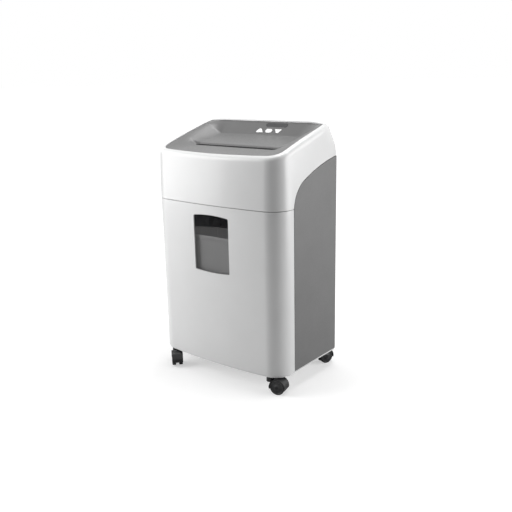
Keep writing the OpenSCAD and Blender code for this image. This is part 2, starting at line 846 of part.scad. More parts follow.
module waste_bin() {
    color("darkgray") difference() {
        translate([0, 0, bin_z0]) linear_extrude(bin_top - bin_z0) bin_plan();
        translate([0, 0, bin_z0 + bin_t]) linear_extrude(bin_top) bin_plan(bin_t);
        // The rim falls towards the back
        along_x(-half_w, half_w) polygon([
            [bin_y0 + bin_r, bin_top],
            [bin_y1 + 1, bin_rear_top],
            [bin_y1 + 1, bin_top + 1],
            [bin_y0 + bin_r, bin_top + 1]
        ]);
    }
}

module front_panel() {
    color("gainsboro") difference() {
        translate([0, 0, panel_z0]) linear_extrude(seam_z - seam_gap / 2 - panel_z0) plan_ring(0, wall);
        block([-half_w - 1, side_y - seam_gap, 0], [half_w + 1, half_d + 1, seam_z + 1]);
        along_y(-half_d - 10, -half_d + 20) window_shape();
    }
}

module window_lens() {
    color([0.1, 0.1, 0.12, 0.6]) intersection() {
        translate([0, 0, window_z0 - 7]) linear_extrude(window_z1 - window_z0 + 14) plan_ring(wall, 1.6);
        along_y(-half_d, -half_d + 20) window_shape(6);
    }
}

// Blocks that carry the bin front on the bin, their faces cut to the bow behind it
module bin_clips() {
    function panel_back(x) = bow_y - sqrt(pow(bow_r - wall, 2) - x * x);
    color("dimgray") for (s = [0, 1], z = [90, 200, 300])
        mirror([s, 0, 0]) translate([0, 0, z - 12]) linear_extrude(24)
            polygon([[81, panel_back(81)], [99, panel_back(99)], [99, bin_y0], [81, bin_y0]]);
}

// ---------- casters ----------

// Swivel housing: stem, web between the wheels and a hood over them
module caster(side, end_y, turn) {
    hood_r = wheel_r + 2.1;
    color("black") at_caster(side, end_y, turn) {
        difference() {
            union() {
                translate([0, 0, 26]) cylinder(h = 10.7, r = 9);
                translate([0, 0, 30]) cylinder(h = 20, r = stem_r - running);
                translate([trail, 0, wheel_r]) rotate([90, 0, 0]) {
                    cylinder(h = web_t, r = 12, center = true);
                    difference() {
                        cylinder(h = 2 * wheel_w + web_t + 1.2, r = hood_r, center = true);
                        cylinder(h = 60, r = wheel_r + 0.6, center = true);
                        translate([-40, -50, -30]) cube([80, 46, 60]);
                    }
                }
                translate([0, -web_t / 2, wheel_r - 2]) cube([trail, web_t, wheel_r + 2]);
            }
            translate([trail, 0, wheel_r]) rotate([90, 0, 0]) {
                cylinder(h = 60, r = 2.5 + running, center = true);
                for (s = [-1, 1])
                    translate([0, 0, s * (web_t / 2 + wheel_w / 2 + 0.3)])
                        cylinder(h = wheel_w + 0.6, r = wheel_r + 0.6, center = true);
            }
        }
    }
}

// Pair of wheels on one axle
module caster_wheels(side, end_y, turn) {
    half = wheel_w / 2 - 0.2;
    color("dimgray") at_caster(side, end_y, turn) translate([trail, 0, wheel_r]) rotate([90, 0, 0]) {
        cylinder(h = 2 * wheel_w + web_t, r = 2.5, center = true);
        for (s = [-1, 1]) translate([0, 0, s * (web_t / 2 + wheel_w / 2 + 0.2)]) rotate_extrude()
            polygon([[0, -half], [wheel_r - 1, -half], [wheel_r, 1 - half], [wheel_r, half - 1],
                [wheel_r - 1, half], [0, half]]);
    }
}

base_plate();
inner_wall(-1);  // inner_wall_left
inner_wall(1);  // inner_wall_right
side_panel(-1);  // side_panel_left
side_panel(1);  // side_panel_right
rear_panel();
mechanism_shelf();
bin_rails();
head_cover();
feed_deck();
throat_guide();
gear_side_plate();
board_side_plate();
tie_rods();
shaft_bushes();
stripper_comb(-1, front_shaft_y, disc_x0 + disc_pitch / 2 - (disc_pitch - disc_t));  // stripper_comb_front
stripper_comb(1, rear_shaft_y, disc_x0 + disc_t);  // stripper_comb_rear
cutter_shaft(front_shaft_y, -122, sync_x + gear_w + 2);  // front_shaft
disc_stack(front_shaft_y, disc_x0 + disc_pitch / 2);  // front_discs
front_sync_gear();
cutter_shaft(rear_shaft_y, -gear_a - gear_w - 1, sync_x + gear_w + 2);  // rear_shaft
disc_stack(rear_shaft_y, disc_x0);  // rear_discs
rear_sync_gear();
drive_gear();
idler_axle();
idler_gear();
motor_can();
motor_stator();
motor_cradle();
motor_rotor();
motor_fan();
control_board();
board_parts();
motor_capacitor();
key_board();
key_cap(-1);  // key_forward
key_cap(0);  // key_stop
key_cap(1);  // key_reverse
display_lens();
sensor_bracket();
sensor_lever();
power_inlet();
switch_bezel();
power_rocker();
interlock_switch();
interlock_plunger();
panel_screws();
waste_bin();
front_panel();
window_lens();
bin_clips();
caster_sockets();
caster(-1, caster_front_y, caster_turn[0]);  // caster_front_left
caster(1, caster_front_y, caster_turn[1]);  // caster_front_right
caster(-1, caster_rear_y, caster_turn[2]);  // caster_rear_left
caster(1, caster_rear_y, caster_turn[3]);  // caster_rear_right
caster_wheels(-1, caster_front_y, caster_turn[0]);  // wheels_front_left
caster_wheels(1, caster_front_y, caster_turn[1]);  // wheels_front_right
caster_wheels(-1, caster_rear_y, caster_turn[2]);  // wheels_rear_left
caster_wheels(1, caster_rear_y, caster_turn[3]);  // wheels_rear_right
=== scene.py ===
"""Visual model of a cross-cut paper shredder on casters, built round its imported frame."""

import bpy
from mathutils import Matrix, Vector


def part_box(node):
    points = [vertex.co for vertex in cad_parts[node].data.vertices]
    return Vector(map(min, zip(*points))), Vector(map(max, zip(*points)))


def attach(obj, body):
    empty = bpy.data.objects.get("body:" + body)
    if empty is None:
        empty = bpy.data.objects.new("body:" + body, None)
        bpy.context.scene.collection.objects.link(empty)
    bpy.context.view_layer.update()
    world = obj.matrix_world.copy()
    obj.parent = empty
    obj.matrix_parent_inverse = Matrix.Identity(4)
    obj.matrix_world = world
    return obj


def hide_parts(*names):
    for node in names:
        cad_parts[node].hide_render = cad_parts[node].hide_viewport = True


bl_info = {
    "name": "Paper shredder",
    "version": (1, 0, 0),
    "blender": (4, 5, 0),
    "location": "3D View > Sidebar > Shredder",
    "description": "Builds the covers, deck, keys, bin, cutters and casters of a paper shredder",
    "category": "Add Mesh",
}

import math

import bmesh
import bpy
from mathutils import Matrix, Vector

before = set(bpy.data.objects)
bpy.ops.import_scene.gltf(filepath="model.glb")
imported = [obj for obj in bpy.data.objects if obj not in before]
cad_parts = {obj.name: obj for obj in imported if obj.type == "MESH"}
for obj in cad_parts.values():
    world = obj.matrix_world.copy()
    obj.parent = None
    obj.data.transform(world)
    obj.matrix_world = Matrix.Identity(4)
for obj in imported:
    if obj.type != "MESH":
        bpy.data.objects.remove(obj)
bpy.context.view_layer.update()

# Metres in a millimetre, and how close in millimetres two places count as the same
MM = 0.001
NEAR = 0.001


def box_mm(node):
    """Lowest and highest corner of a node at rest, in millimetres."""
    low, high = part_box(node)
    return [v / MM for v in low], [v / MM for v in high]


COVER_LOW, COVER_HIGH = box_mm("head_cover")
PANEL_LOW, PANEL_HIGH = box_mm("front_panel")
BIN_LOW, BIN_HIGH = box_mm("waste_bin")

# Plan outline of the cabinet: a bowed front between round corners, and small rounds at the rear
HALF_W = COVER_HIGH[0]
HALF_D = COVER_HIGH[1]
BOW_R = 1323
CORNER_R = 43
REAR_R, REAR_STEPS = 6, 6
BOW_Y = BOW_R - HALF_D
CORNER_X = HALF_W - CORNER_R
CORNER_Y = BOW_Y - math.sqrt((BOW_R - CORNER_R) ** 2 - CORNER_X**2)
CORNER_TURN = math.atan(CORNER_X / (BOW_Y - CORNER_Y))

# Side view of the head: the rim's two lines, the crest between them and the rounded back
COVER_FOOT = COVER_LOW[2]
SEAM_GAP = 1.2
WALL = 3
SHOULDER_Y, SHOULDER_Z = 18.6, 540.5
FRONT_SLOPE = 0.317
RIDGE_Y, RIDGE_Z = 87, COVER_HIGH[2]
RIM_BELOW_RIDGE = 4
RIM_SLOPE = (RIDGE_Z - RIM_BELOW_RIDGE - SHOULDER_Z) / (RIDGE_Y - SHOULDER_Y)
RIM_BEND = 5
CREST_SLOPE = 0.288
CREST_FLAT = 122
BACK_R = 80
BACK_Y = HALF_D - BACK_R
BACK_Z = RIDGE_Z - math.sqrt(BACK_R**2 - (RIDGE_Y - BACK_Y) ** 2)
BACK_BLEND_Y = 50
OPENING_Y = 84

# The head's walls lean in and roll over at the rim, which narrows towards the rear
LEAN, RIM_R = 3, 12
RIM_R_LOSS, RIM_R_LOSS_L = 8, 22
REAR_IN, REAR_IN_L = 13, 60

# Upper edge of the side panels
SIDE_Y = -52
SIDE_ARC_R, SIDE_ARC_Z = 66, 390
SIDE_ARC_Y = SIDE_Y + SIDE_ARC_R
SIDE_JOIN = math.radians(25)
LONG_R = 450
JOIN_Y = SIDE_ARC_Y - SIDE_ARC_R * math.sin(SIDE_JOIN)
JOIN_Z = SIDE_ARC_Z + SIDE_ARC_R * math.cos(SIDE_JOIN)
LONG_Y = JOIN_Y + LONG_R * math.sin(SIDE_JOIN)
LONG_Z = JOIN_Z - LONG_R * math.cos(SIDE_JOIN)

# Feed deck
DECK_T = 2.5
DECK_LIP = 1.2
DECK_GAP = 0.3
DECK_EDGE = HALF_W - LEAN - RIM_R - DECK_GAP
DECK_FLAT = 105
SLOT_Y, SLOT_Z = -19, 513
SLOT_HALF_L, SLOT_HALF_W = 113, 2.4
GROOVE_FRONT, GROOVE_REAR = 11, 3.2
SLOPE_Y, SLOPE_Z = 60, 528
SLOPE_CREASE = 2.4
SLOPE_ANGLE = math.atan((RIDGE_Z - DECK_LIP - SLOPE_Z) / (RIDGE_Y - SLOPE_Y))
KEYS = {-1: "forward", 0: "stop", 1: "reverse"}
KEY_PITCH, KEY_MID_X, KEY_UP = 25, 23, 12.5
KEY_TOP, KEY_FLANGE, KEY_FOOT = 1.2, -2.9, -4
LENS_X, LENS_UP, LENS_L, LENS_W = 38, 29, 60, 10

# Window in the bin front
WINDOW_HALF_W = 48.5
WINDOW_Z0, WINDOW_Z1 = 248, 375
WINDOW_TOP_R, WINDOW_LOW_R, WINDOW_CORNER_R = 330, 480, 6

# Waste bin
BIN_FRONT_R, BIN_REAR_R = 38, 8
BIN_REAR_DROP = 32

# Cutters
SHAFT_Z = 440
FRONT_SHAFT_Y, REAR_SHAFT_Y = SLOT_Y - 18, SLOT_Y + 18
DISC_N, DISC_PITCH, DISC_T, DISC_R, SPACER_R = 38, 6, 2.7, 20.9, 14
DISC_X0 = -114.15
DISC_TEETH, LAND_STEPS = 8, 5
BORE_R = 9.02

# Casters: the ending of their names, then side, row and the direction they trail in
CASTER_X, CASTER_FRONT_Y, CASTER_REAR_Y = 140, -94, 89.3
TRAIL, WHEEL_R, WHEEL_W, WHEEL_GAP, WEB_T, AXLE_R = 19, 16.5, 9, 0.2, 6.4, 2.45
CASTERS = {
    "front_left": (-1, CASTER_FRONT_Y, -43),
    "front_right": (1, CASTER_FRONT_Y, 14),
    "rear_left": (-1, CASTER_REAR_Y, 158),
    "rear_right": (1, CASTER_REAR_Y, 70),
}

# Smallest radius of a turned shape, at its axis
AXIS_R = 0.01

FINISH = {}


# ---------- sizes and colours a user may change ----------


def length_property(name, description, default):
    """Length in metres."""
    return bpy.props.FloatProperty(name=name, description=description, default=default, unit="LENGTH")


def colour_property(name, description, default):
    """Linear colour."""
    return bpy.props.FloatVectorProperty(
        name=name, description=description, default=default, subtype="COLOR", size=3, min=0, max=1
    )


class ShredderSizes(bpy.types.PropertyGroup):
    """Edge rounds and fine shapes of the moulded parts"""

    crest_round: length_property("Crest round", "Softness of the crest behind the keys", 0.006)
    edge_round: length_property("Edge round", "Radius on the edges of covers and panels", 0.0007)
    slot_taper: length_property("Slot taper", "Length of the groove past each end of the slot", 0.026)
    slot_dip: length_property("Slot dip", "Depth of the groove the slot lies in", 0.005)
    disc_twist: bpy.props.FloatProperty(
        name="Disc twist",
        description="Turn from one cutting disc to the next",
        default=math.radians(11),
        subtype="ANGLE",
    )


class ShredderColours(bpy.types.PropertyGroup):
    """Colours of the outer parts"""

    shell: colour_property("Shell", "Light covers", (0.71, 0.712, 0.712))
    side: colour_property("Side", "Side and rear panels", (0.145, 0.145, 0.145))
    deck: colour_property("Deck", "Feed deck", (0.13, 0.13, 0.13))
    bin: colour_property("Bin", "Waste bin", (0.4, 0.4, 0.4))
    caster: colour_property("Casters", "Caster housings", (0.008, 0.008, 0.009))


# ---------- outlines ----------


def plan_outline(inset, corner_steps, bow_steps, side_ys=(), rear_xs=()):
    """Closed plan outline: right side from the rear, bowed front, left side, then the rear from the left."""
    corner = CORNER_R - inset
    rear = max(REAR_R - inset, 1)
    side_x = HALF_W - inset
    right = [(side_x, y) for y in side_ys]
    for k in range(corner_steps + 1):
        a = -(math.pi / 2 - CORNER_TURN) * k / corner_steps
        right.append((CORNER_X + corner * math.cos(a), CORNER_Y + corner * math.sin(a)))
    reach = right[-1][0]
    bow = []
    for k in range(1, bow_steps):
        x = reach * (1 - 2 * k / bow_steps)
        bow.append((x, BOW_Y - math.sqrt((BOW_R - inset) ** 2 - x * x)))
    left = [(-x, y) for x, y in reversed(right)]
    back_y = HALF_D - inset - rear
    turn = [
        (side_x - rear + rear * math.cos(a), back_y + rear * math.sin(a))
        for a in (math.pi / 2 * k / REAR_STEPS for k in range(REAR_STEPS + 1))
    ]
    rear_run = [(x, HALF_D - inset) for x in rear_xs]
    return right + bow + left + [(-x, y) for x, y in turn] + rear_run + list(reversed(turn))


def soft_step(t):
    """Smooth blend from 0 to 1."""
    t = min(max(t, 0.0), 1.0)
    return t * t * (3 - 2 * t)


def rim_line(y):
    """Height of the two rim lines of the sides, with the bend between them softened."""
    front = SHOULDER_Z + FRONT_SLOPE * (y - SHOULDER_Y)
    rear = SHOULDER_Z + RIM_SLOPE * (y - SHOULDER_Y)
    return soft_min(front, rear, RIM_BEND)


def back_line(y):
    """Height of the rounded back."""
    return BACK_Z + math.sqrt(max(BACK_R**2 - (y - BACK_Y) ** 2, 0))


def soft_min(a, b, r):
    """Lower of two heights, blended where they are within r."""
    h = max(r - abs(a - b), 0) / r
    return min(a, b) - h * h * r / 4


def top_line(y, crest):
    """Height of the head's upper edge along the sides, down over the rounded back."""
    if y < BACK_BLEND_Y:
        return rim_line(y)
    return soft_min(rim_line(y), back_line(min(y, HALF_D)), crest)


def crest_height(x, y, edge, crest):
    """Height of the cap behind the keys: level in the middle, down to the rim at the sides."""
    rise = RIDGE_Z + CREST_SLOPE * (y - RIDGE_Y)
    middle = min(soft_min(rise, back_line(min(y, HALF_D)), crest), RIDGE_Z)
    share = soft_step((abs(x) - CREST_FLAT) / max(edge - CREST_FLAT, 1))
    return middle + (top_line(y, crest) - middle) * share


def foot_line(y):
    """Height of the head cover's lower edge over the side panels."""
    if y <= SIDE_Y - SEAM_GAP:
        return COVER_FOOT
    if y < JOIN_Y:
        rise = math.sqrt(max((SIDE_ARC_R + SEAM_GAP) ** 2 - (y - SIDE_ARC_Y) ** 2, 0))
        return max(COVER_FOOT, SIDE_ARC_Z + rise)
    return LONG_Z + math.sqrt((LONG_R + SEAM_GAP) ** 2 - (y - LONG_Y) ** 2)


def round_corners(points, radius, steps=4):
    """Closed polygon with each corner replaced by an arc-like curve."""
    out = []
    n = len(points)
    for k in range(n):
        p = Vector(points[k])
        a, b = Vector(points[k - 1]) - p, Vector(points[(k + 1) % n]) - p
        r = min(radius, a.length * 0.45, b.length * 0.45)
        start, end = p + a.normalized() * r, p + b.normalized() * r
        for j in range(steps + 1):
            t = j / steps
            out.append(tuple(start * (1 - t) ** 2 + p * 2 * t * (1 - t) + end * t * t))
    return out


def stadium(length, width, steps=12):
    """Long outline with round ends about the middle."""
    out = []
    for side in (1, -1):
        for k in range(steps + 1):
            a = math.pi * (k / steps - 0.5)
            x = (length - width) / 2 + width / 2 * math.cos(a)
            out.append((side * x, side * width / 2 * math.sin(a)))
    return out


def key_outline(k, grow=0.0):
    """Triangle up, stadium or triangle down."""
    if k == 0:
        return stadium(18 + 2 * grow, 10 + 2 * grow)
    tip = -k * (5 + 1.3 * grow)
    reach = 10 + 2 * grow
    points = [(-reach, -tip), (reach, -tip), (3.2, tip), (-3.2, tip)]
    return round_corners(points, 2.2)


def window_outline(steps=14):
    """Window opening in the XZ plane with arched top and bottom and small corner rounds."""
    w = WINDOW_HALF_W
    points = []
    for k in range(steps + 1):
        x = w - 2 * w * k / steps
        points.append((x, WINDOW_Z1 - WINDOW_TOP_R + math.sqrt(WINDOW_TOP_R**2 - x * x)))
    for k in range(steps + 1):
        x = -w + 2 * w * k / steps
        points.append((x, WINDOW_Z0 + WINDOW_LOW_R - math.sqrt(WINDOW_LOW_R**2 - x * x)))
    return round_corners(points, WINDOW_CORNER_R, 5)


# ---------- mesh tools ----------


def mesh_object(name, verts, faces):
    """New object from points in millimetres."""
    mesh = bpy.data.meshes.new(name)
    mesh.from_pydata([(x * MM, y * MM, z * MM) for x, y, z in verts], [], faces)
    mesh.validate()
    piece = bpy.data.objects.new(name, mesh)
    bpy.context.scene.collection.objects.link(piece)
    return piece


def grid_faces(rows, cols, first=0, closed=False):
    """Quads of a rows by cols grid of points stored row by row."""
    faces = []
    for i in range(rows - 1):
        for j in range(cols if closed else cols - 1):
            a = first + i * cols + j
            b = first + i * cols + (j + 1) % cols
            faces.append((a, b, b + cols, a + cols))
    return faces


def loft(rings):
    """Points and faces of a closed body through rings of points, with a lid at each end."""
    n = len(rings[0])
    points = [p for ring in rings for p in ring]
    faces = grid_faces(len(rings), n, closed=True)
    faces += [tuple(reversed(range(n))), tuple(range(len(points) - n, len(points)))]
    return points, faces


def discard(piece):
    """Removes a helper piece and its mesh."""
    shape = piece.data
    bpy.data.objects.remove(piece)
    bpy.data.meshes.remove(shape)


def bake(piece):
    """Gives the piece the mesh that its modifiers make."""
    graph = bpy.context.evaluated_depsgraph_get()
    shape = bpy.data.meshes.new_from_object(piece.evaluated_get(graph))
    old = piece.data
    piece.modifiers.clear()
    piece.data = shape
    bpy.data.meshes.remove(old)
    return piece


def edit(piece, change):
    """Runs a change on the piece's mesh."""
    bm = bmesh.new()
    bm.from_mesh(piece.data)
    change(bm)
    bm.to_mesh(piece.data)
    bm.free()
    piece.data.update()
    return piece


def merge(piece, dist=0.002, outward=True):
    """Welds doubled points and turns the faces outwards."""

    def change(bm):
        bmesh.ops.remove_doubles(bm, verts=bm.verts, dist=dist * MM)
        bmesh.ops.dissolve_degenerate(bm, dist=dist * MM / 4, edges=bm.edges)
        if outward:
            bmesh.ops.recalc_face_normals(bm, faces=bm.faces)

    return edit(piece, change)


def thicken(piece, wall):
    """Gives an open skin a wall on its inner side."""
    m = piece.modifiers.new("wall", "SOLIDIFY")
    m.thickness = wall * MM
    m.offset = -1
    m.use_even_offset = True
    m.use_quality_normals = True
    return bake(piece)


def cut(piece, cutter):
    """Takes the cutter's volume away from the piece and removes the cutter."""
    m = piece.modifiers.new("cut", "BOOLEAN")
    m.operation = "DIFFERENCE"
    m.solver = "EXACT"
    m.object = cutter
    bake(piece)
    discard(cutter)


def round_edges(piece, width, steps=2, angle=50):
    """Rounds the piece's edges that are sharper than the angle."""

    def change(bm):
        bm.normal_update()
        limit = math.radians(angle)
        sharp = [e for e in bm.edges if len(e.link_faces) == 2 and e.calc_face_angle(0) > limit]
        bmesh.ops.bevel(
            bm, geom=sharp, offset=width * MM, offset_type="OFFSET", segments=steps, profile=0.5,
            affect="EDGES", clamp_overlap=True, loop_slide=True, miter_outer="SHARP",
        )

    return edit(piece, change)


def shade(piece, angle=32, weighted=True):
    """Smooth shading with creases kept and the big faces kept flat."""
    piece.data.shade_smooth()
    piece.data.set_sharp_from_angle(angle=math.radians(angle))
    if weighted:
        m = piece.modifiers.new("weights", "WEIGHTED_NORMAL")
        m.keep_sharp = True
        m.weight = 60
        bake(piece)
    return piece


def place(piece, finish, body, nodes=()):
    """Paints the piece, lets it ride on its body and hides the nodes it stands for."""
    piece.data.materials.clear()
    piece.data.materials.append(FINISH[finish])
    for p in piece.data.polygons:
        p.material_index = 0
    if nodes:
        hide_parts(*nodes)
    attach(piece, body)
    return piece


def eased_copy(node, name, width, steps=2):
    """Copy of a node with its level faces joined up and its sharp edges rounded."""
    mesh = bpy.data.meshes.new(name)
    bm = bmesh.new()
    bm.from_mesh(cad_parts[node].data)
    bmesh.ops.remove_doubles(bm, verts=bm.verts, dist=2e-6)
    bmesh.ops.dissolve_limit(bm, angle_limit=math.radians(0.4), verts=bm.verts, edges=bm.edges)
    bm.to_mesh(mesh)
    bm.free()
    piece = bpy.data.objects.new(name, mesh)
    bpy.context.scene.collection.objects.link(piece)
    round_edges(piece, width, steps, 40)
    return shade(piece, 35)


def prism(name, outline, z0, z1, matrix=None):
    """Closed block from an outline in its own XY plane, z0 to z1, then placed."""
    n = len(outline)
    verts = [(x, y, z) for z in (z0, z1) for x, y in outline]
    faces = [tuple(reversed(range(n))), tuple(range(n, 2 * n))]
    faces += [(k, (k + 1) % n, n + (k + 1) % n, n + k) for k in range(n)]
    if matrix is not None:
        verts = [tuple(matrix @ Vector(v)) for v in verts]
    piece = mesh_object(name, verts, faces)
    edit(piece, lambda bm: bmesh.ops.recalc_face_normals(bm, faces=bm.faces))
    return piece


def lathe(profile, steps=48):
    """Points and faces of a closed profile of (place along the axis, radius) turned round local X."""
    verts, faces = [], []
    n = len(profile)
    for k in range(steps):
        a = 2 * math.pi * k / steps
        verts += [(x, r * math.cos(a), r * math.sin(a)) for x, r in profile]
    for k in range(steps):
        for j in range(n):
            a, b = k * n + j, k * n + (j + 1) % n
            c, d = (k + 1) % steps * n + (j + 1) % n, (k + 1) % steps * n + j
            faces.append((a, b, c, d))
    return verts, faces


def join_shapes(name, shapes):
    """One object from several lists of (points, faces, matrix)."""
    verts, faces = [], []
    for points, quads, matrix in shapes:
        base = len(verts)
        verts += [tuple(matrix @ Vector(p)) if matrix is not None else p for p in points]
        faces += [tuple(base + k for k in f) for f in quads]
    return merge(mesh_object(name, verts, faces))


def slope_matrix(x, up):
    """Place on the key slope: local Z points out of the surface, in millimetres."""
    turn = Matrix.Rotation(SLOPE_ANGLE, 4, "X")
    return Matrix.Translation((x, SLOPE_Y, SLOPE_Z)) @ turn @ Matrix.Translation((0, up, 0))


def caster_matrix(key):
    """Place at the wheel axle of a caster: local X along the trail, local Y along the axle."""
    side, row, turn = CASTERS[key]
    spin = Matrix.Rotation(math.radians(turn), 4, "Z")
    swivel = Matrix.Translation((side * CASTER_X, row, 0))
    return swivel @ spin @ Matrix.Translation((TRAIL, 0, WHEEL_R))


# ---------- repeating parts ----------


def repeat_tree():
    """Node tree that sets a template on each point of a piece, turns it a step further and paints it."""
    if "repeat_on_points" in bpy.data.node_groups:
        return bpy.data.node_groups["repeat_on_points"]
    tree = bpy.data.node_groups.new("repeat_on_points", "GeometryNodeTree")
    face = tree.interface
    for name, kind in (
        ("Points", "Geometry"), ("Template", "Object"), ("Axis", "Vector"), ("Step", "Float"),
        ("Scatter", "Float"), ("Seed", "Int"), ("Finish", "Material"),
    ):
        face.new_socket(name, in_out="INPUT", socket_type="NodeSocket" + kind)
    face.new_socket("Geometry", in_out="OUTPUT", socket_type="NodeSocketGeometry")
    nodes = tree.nodes
    start = nodes.new("NodeGroupInput")
    end = nodes.new("NodeGroupOutput")
    info = nodes.new("GeometryNodeObjectInfo")
    index = nodes.new("GeometryNodeInputIndex")
    turn = nodes.new("ShaderNodeMath")
    turn.operation = "MULTIPLY"
    rand = nodes.new("FunctionNodeRandomValue")
    rand.data_type = "FLOAT"
    rand.inputs[2].default_value = 0
    add = nodes.new("ShaderNodeMath")
    add.operation = "ADD"
    scale = nodes.new("ShaderNodeVectorMath")
    scale.operation = "SCALE"
    put = nodes.new("GeometryNodeInstanceOnPoints")
    real = nodes.new("GeometryNodeRealizeInstances")
    paint = nodes.new("GeometryNodeSetMaterial")
    for source, target in (
        (start.outputs["Template"], info.inputs["Object"]),
        (start.outputs["Scatter"], rand.inputs[3]),
        (start.outputs["Seed"], rand.inputs["Seed"]),
        (index.outputs[0], turn.inputs[0]),
        (start.outputs["Step"], turn.inputs[1]),
        (turn.outputs[0], add.inputs[0]),
        (rand.outputs[1], add.inputs[1]),
        (start.outputs["Axis"], scale.inputs[0]),
        (add.outputs[0], scale.inputs["Scale"]),
        (start.outputs["Points"], put.inputs["Points"]),
        (info.outputs["Geometry"], put.inputs["Instance"]),
        (scale.outputs[0], put.inputs["Rotation"]),
        (put.outputs[0], real.inputs[0]),
        (real.outputs[0], paint.inputs["Geometry"]),
        (start.outputs["Finish"], paint.inputs["Material"]),
        (paint.outputs[0], end.inputs[0]),
    ):
        tree.links.new(source, target)
    return tree


def repeat(name, template, points, finish, axis=(1, 0, 0), step=0.0, scatter=0.0, seed=7):
    """One mesh of a template set on each point, in millimetres, and turned."""
    piece = mesh_object(name, points, [])
    tree = repeat_tree()
    m = piece.modifiers.new("repeat", "NODES")
    m.node_group = tree
    values = {
        "Template": template,
        "Axis": axis,
        "Step": step,
        "Scatter": scatter,
        "Seed": seed,
        "Finish": FINISH[finish],
    }
    for item in tree.interface.items_tree:
        if item.item_type == "SOCKET" and item.in_out == "INPUT" and item.name in values:
            m[item.identifier] = values[item.name]
    bake(piece)
    discard(template)
    return piece


# ---------- finishes ----------


class Finish:
    """Builds one material from nodes, everything on Object coordinates in metres."""

    def __init__(self, name, colour, rough, metal=0.0, **sockets):
        self.material = bpy.data.materials.new(name)
        self.material.use_nodes = True
        self.tree = self.material.node_tree
        self.shader = self.tree.nodes["Principled BSDF"]
        self.coords = self.add("ShaderNodeTexCoord").outputs["Object"]
        self.colour = colour
        self.bump = None
        self.shader.inputs["Base Color"].default_value = (*colour, 1)
        self.shader.inputs["Roughness"].default_value = rough
        self.shader.inputs["Metallic"].default_value = metal
        for key, value in sockets.items():
            self.shader.inputs[key.replace("_", " ")].default_value = value
        FINISH[name] = self.material

    def add(self, kind, **values):
        """New node with the values given."""
        node = self.tree.nodes.new(kind)
        for key, value in values.items():
            setattr(node, key, value)
        return node

    def link(self, a, b):
        """Joins an output to an input."""
        self.tree.links.new(a, b)

    def stretched(self, scale):
        """Object coordinates scaled along each axis."""
        mapping = self.add("ShaderNodeMapping")
        mapping.inputs["Scale"].default_value = scale
        self.link(self.coords, mapping.inputs["Vector"])
        return mapping.outputs[0]

    def noise(self, scale, detail, rough=0.5, vector=None):
        """Cloudy value over the surface."""
        node = self.add("ShaderNodeTexNoise")
        node.inputs["Scale"].default_value = scale
        node.inputs["Detail"].default_value = detail
        node.inputs["Roughness"].default_value = rough
        self.link(vector or self.coords, node.inputs["Vector"])
        return node.outputs["Fac"]

    def cells(self, scale, out="Distance"):
        """Value or colour of small cells over the surface."""
        node = self.add("ShaderNodeTexVoronoi")
        node.inputs["Scale"].default_value = scale
        self.link(self.coords, node.inputs["Vector"])
        return node.outputs[out]

    def spread(self, value, low, high, at=(0.3, 0.7)):
        """Maps a value between two ends to another range."""
        node = self.add("ShaderNodeMapRange")
        node.inputs["From Min"].default_value = at[0]
        node.inputs["From Max"].default_value = at[1]
        node.inputs["To Min"].default_value = low
        node.inputs["To Max"].default_value = high
        self.link(value, node.inputs["Value"])
        return node.outputs[0]

    def tint(self, value, dark, light, at=(0.3, 0.7)):
        """Base colour between two shades of itself."""
        ramp = self.add("ShaderNodeValToRGB")
        for stop, position, share in zip(ramp.color_ramp.elements, at, (dark, light)):
            stop.position = position
            stop.color = (*(min(c * share, 1) for c in self.colour), 1)
        self.link(value, ramp.inputs[0])
        self.link(ramp.outputs[0], self.shader.inputs["Base Color"])

    def blend(self, value, first, second, at):
        """Base colour between two colours."""
        mix = self.add("ShaderNodeMix", data_type="RGBA")
        # Inputs 6 and 7 and output 2 are the colour ones
        mix.inputs[6].default_value = (*first, 1)
        mix.inputs[7].default_value = (*second, 1)
        self.link(self.spread(value, 0, 1, at), mix.inputs[0])
        self.link(mix.outputs[2], self.shader.inputs["Base Color"])

    def gloss(self, value, low, high, at=(0.3, 0.7)):
        """Roughness that varies over the surface."""
        self.link(self.spread(value, low, high, at), self.shader.inputs["Roughness"])

    def relief(self, value, strength, height=0.00005):
        """Adds fine relief on top of what is there."""
        node = self.add("ShaderNodeBump")
        node.inputs["Strength"].default_value = strength
        node.inputs["Distance"].default_value = height
        self.link(value, node.inputs["Height"])
        if self.bump is not None:
            self.link(self.bump, node.inputs["Normal"])
        self.bump = node.outputs[0]
        self.link(self.bump, self.shader.inputs["Normal"])

    def glow(self, strength):
        """Adds a faint white glow: painted light that brightens the part though it is no lamp."""
        self.shader.inputs["Emission Color"].default_value = (1, 1, 1, 1)
        self.shader.inputs["Emission Strength"].default_value = strength


def plain_plastic(name, colour, rough, grain, depth, clouds):
    """Moulded plastic: faint clouds in the colour, a fine spark-eroded grain and uneven gloss."""
    f = Finish(name, colour, rough)
    f.tint(f.noise(22, 4), 1 - clouds, 1 + clouds)
    f.gloss(f.noise(260, 3), rough * 0.9, rough * 1.12)
    f.relief(f.noise(grain, 2, 0.6), depth)
    return f


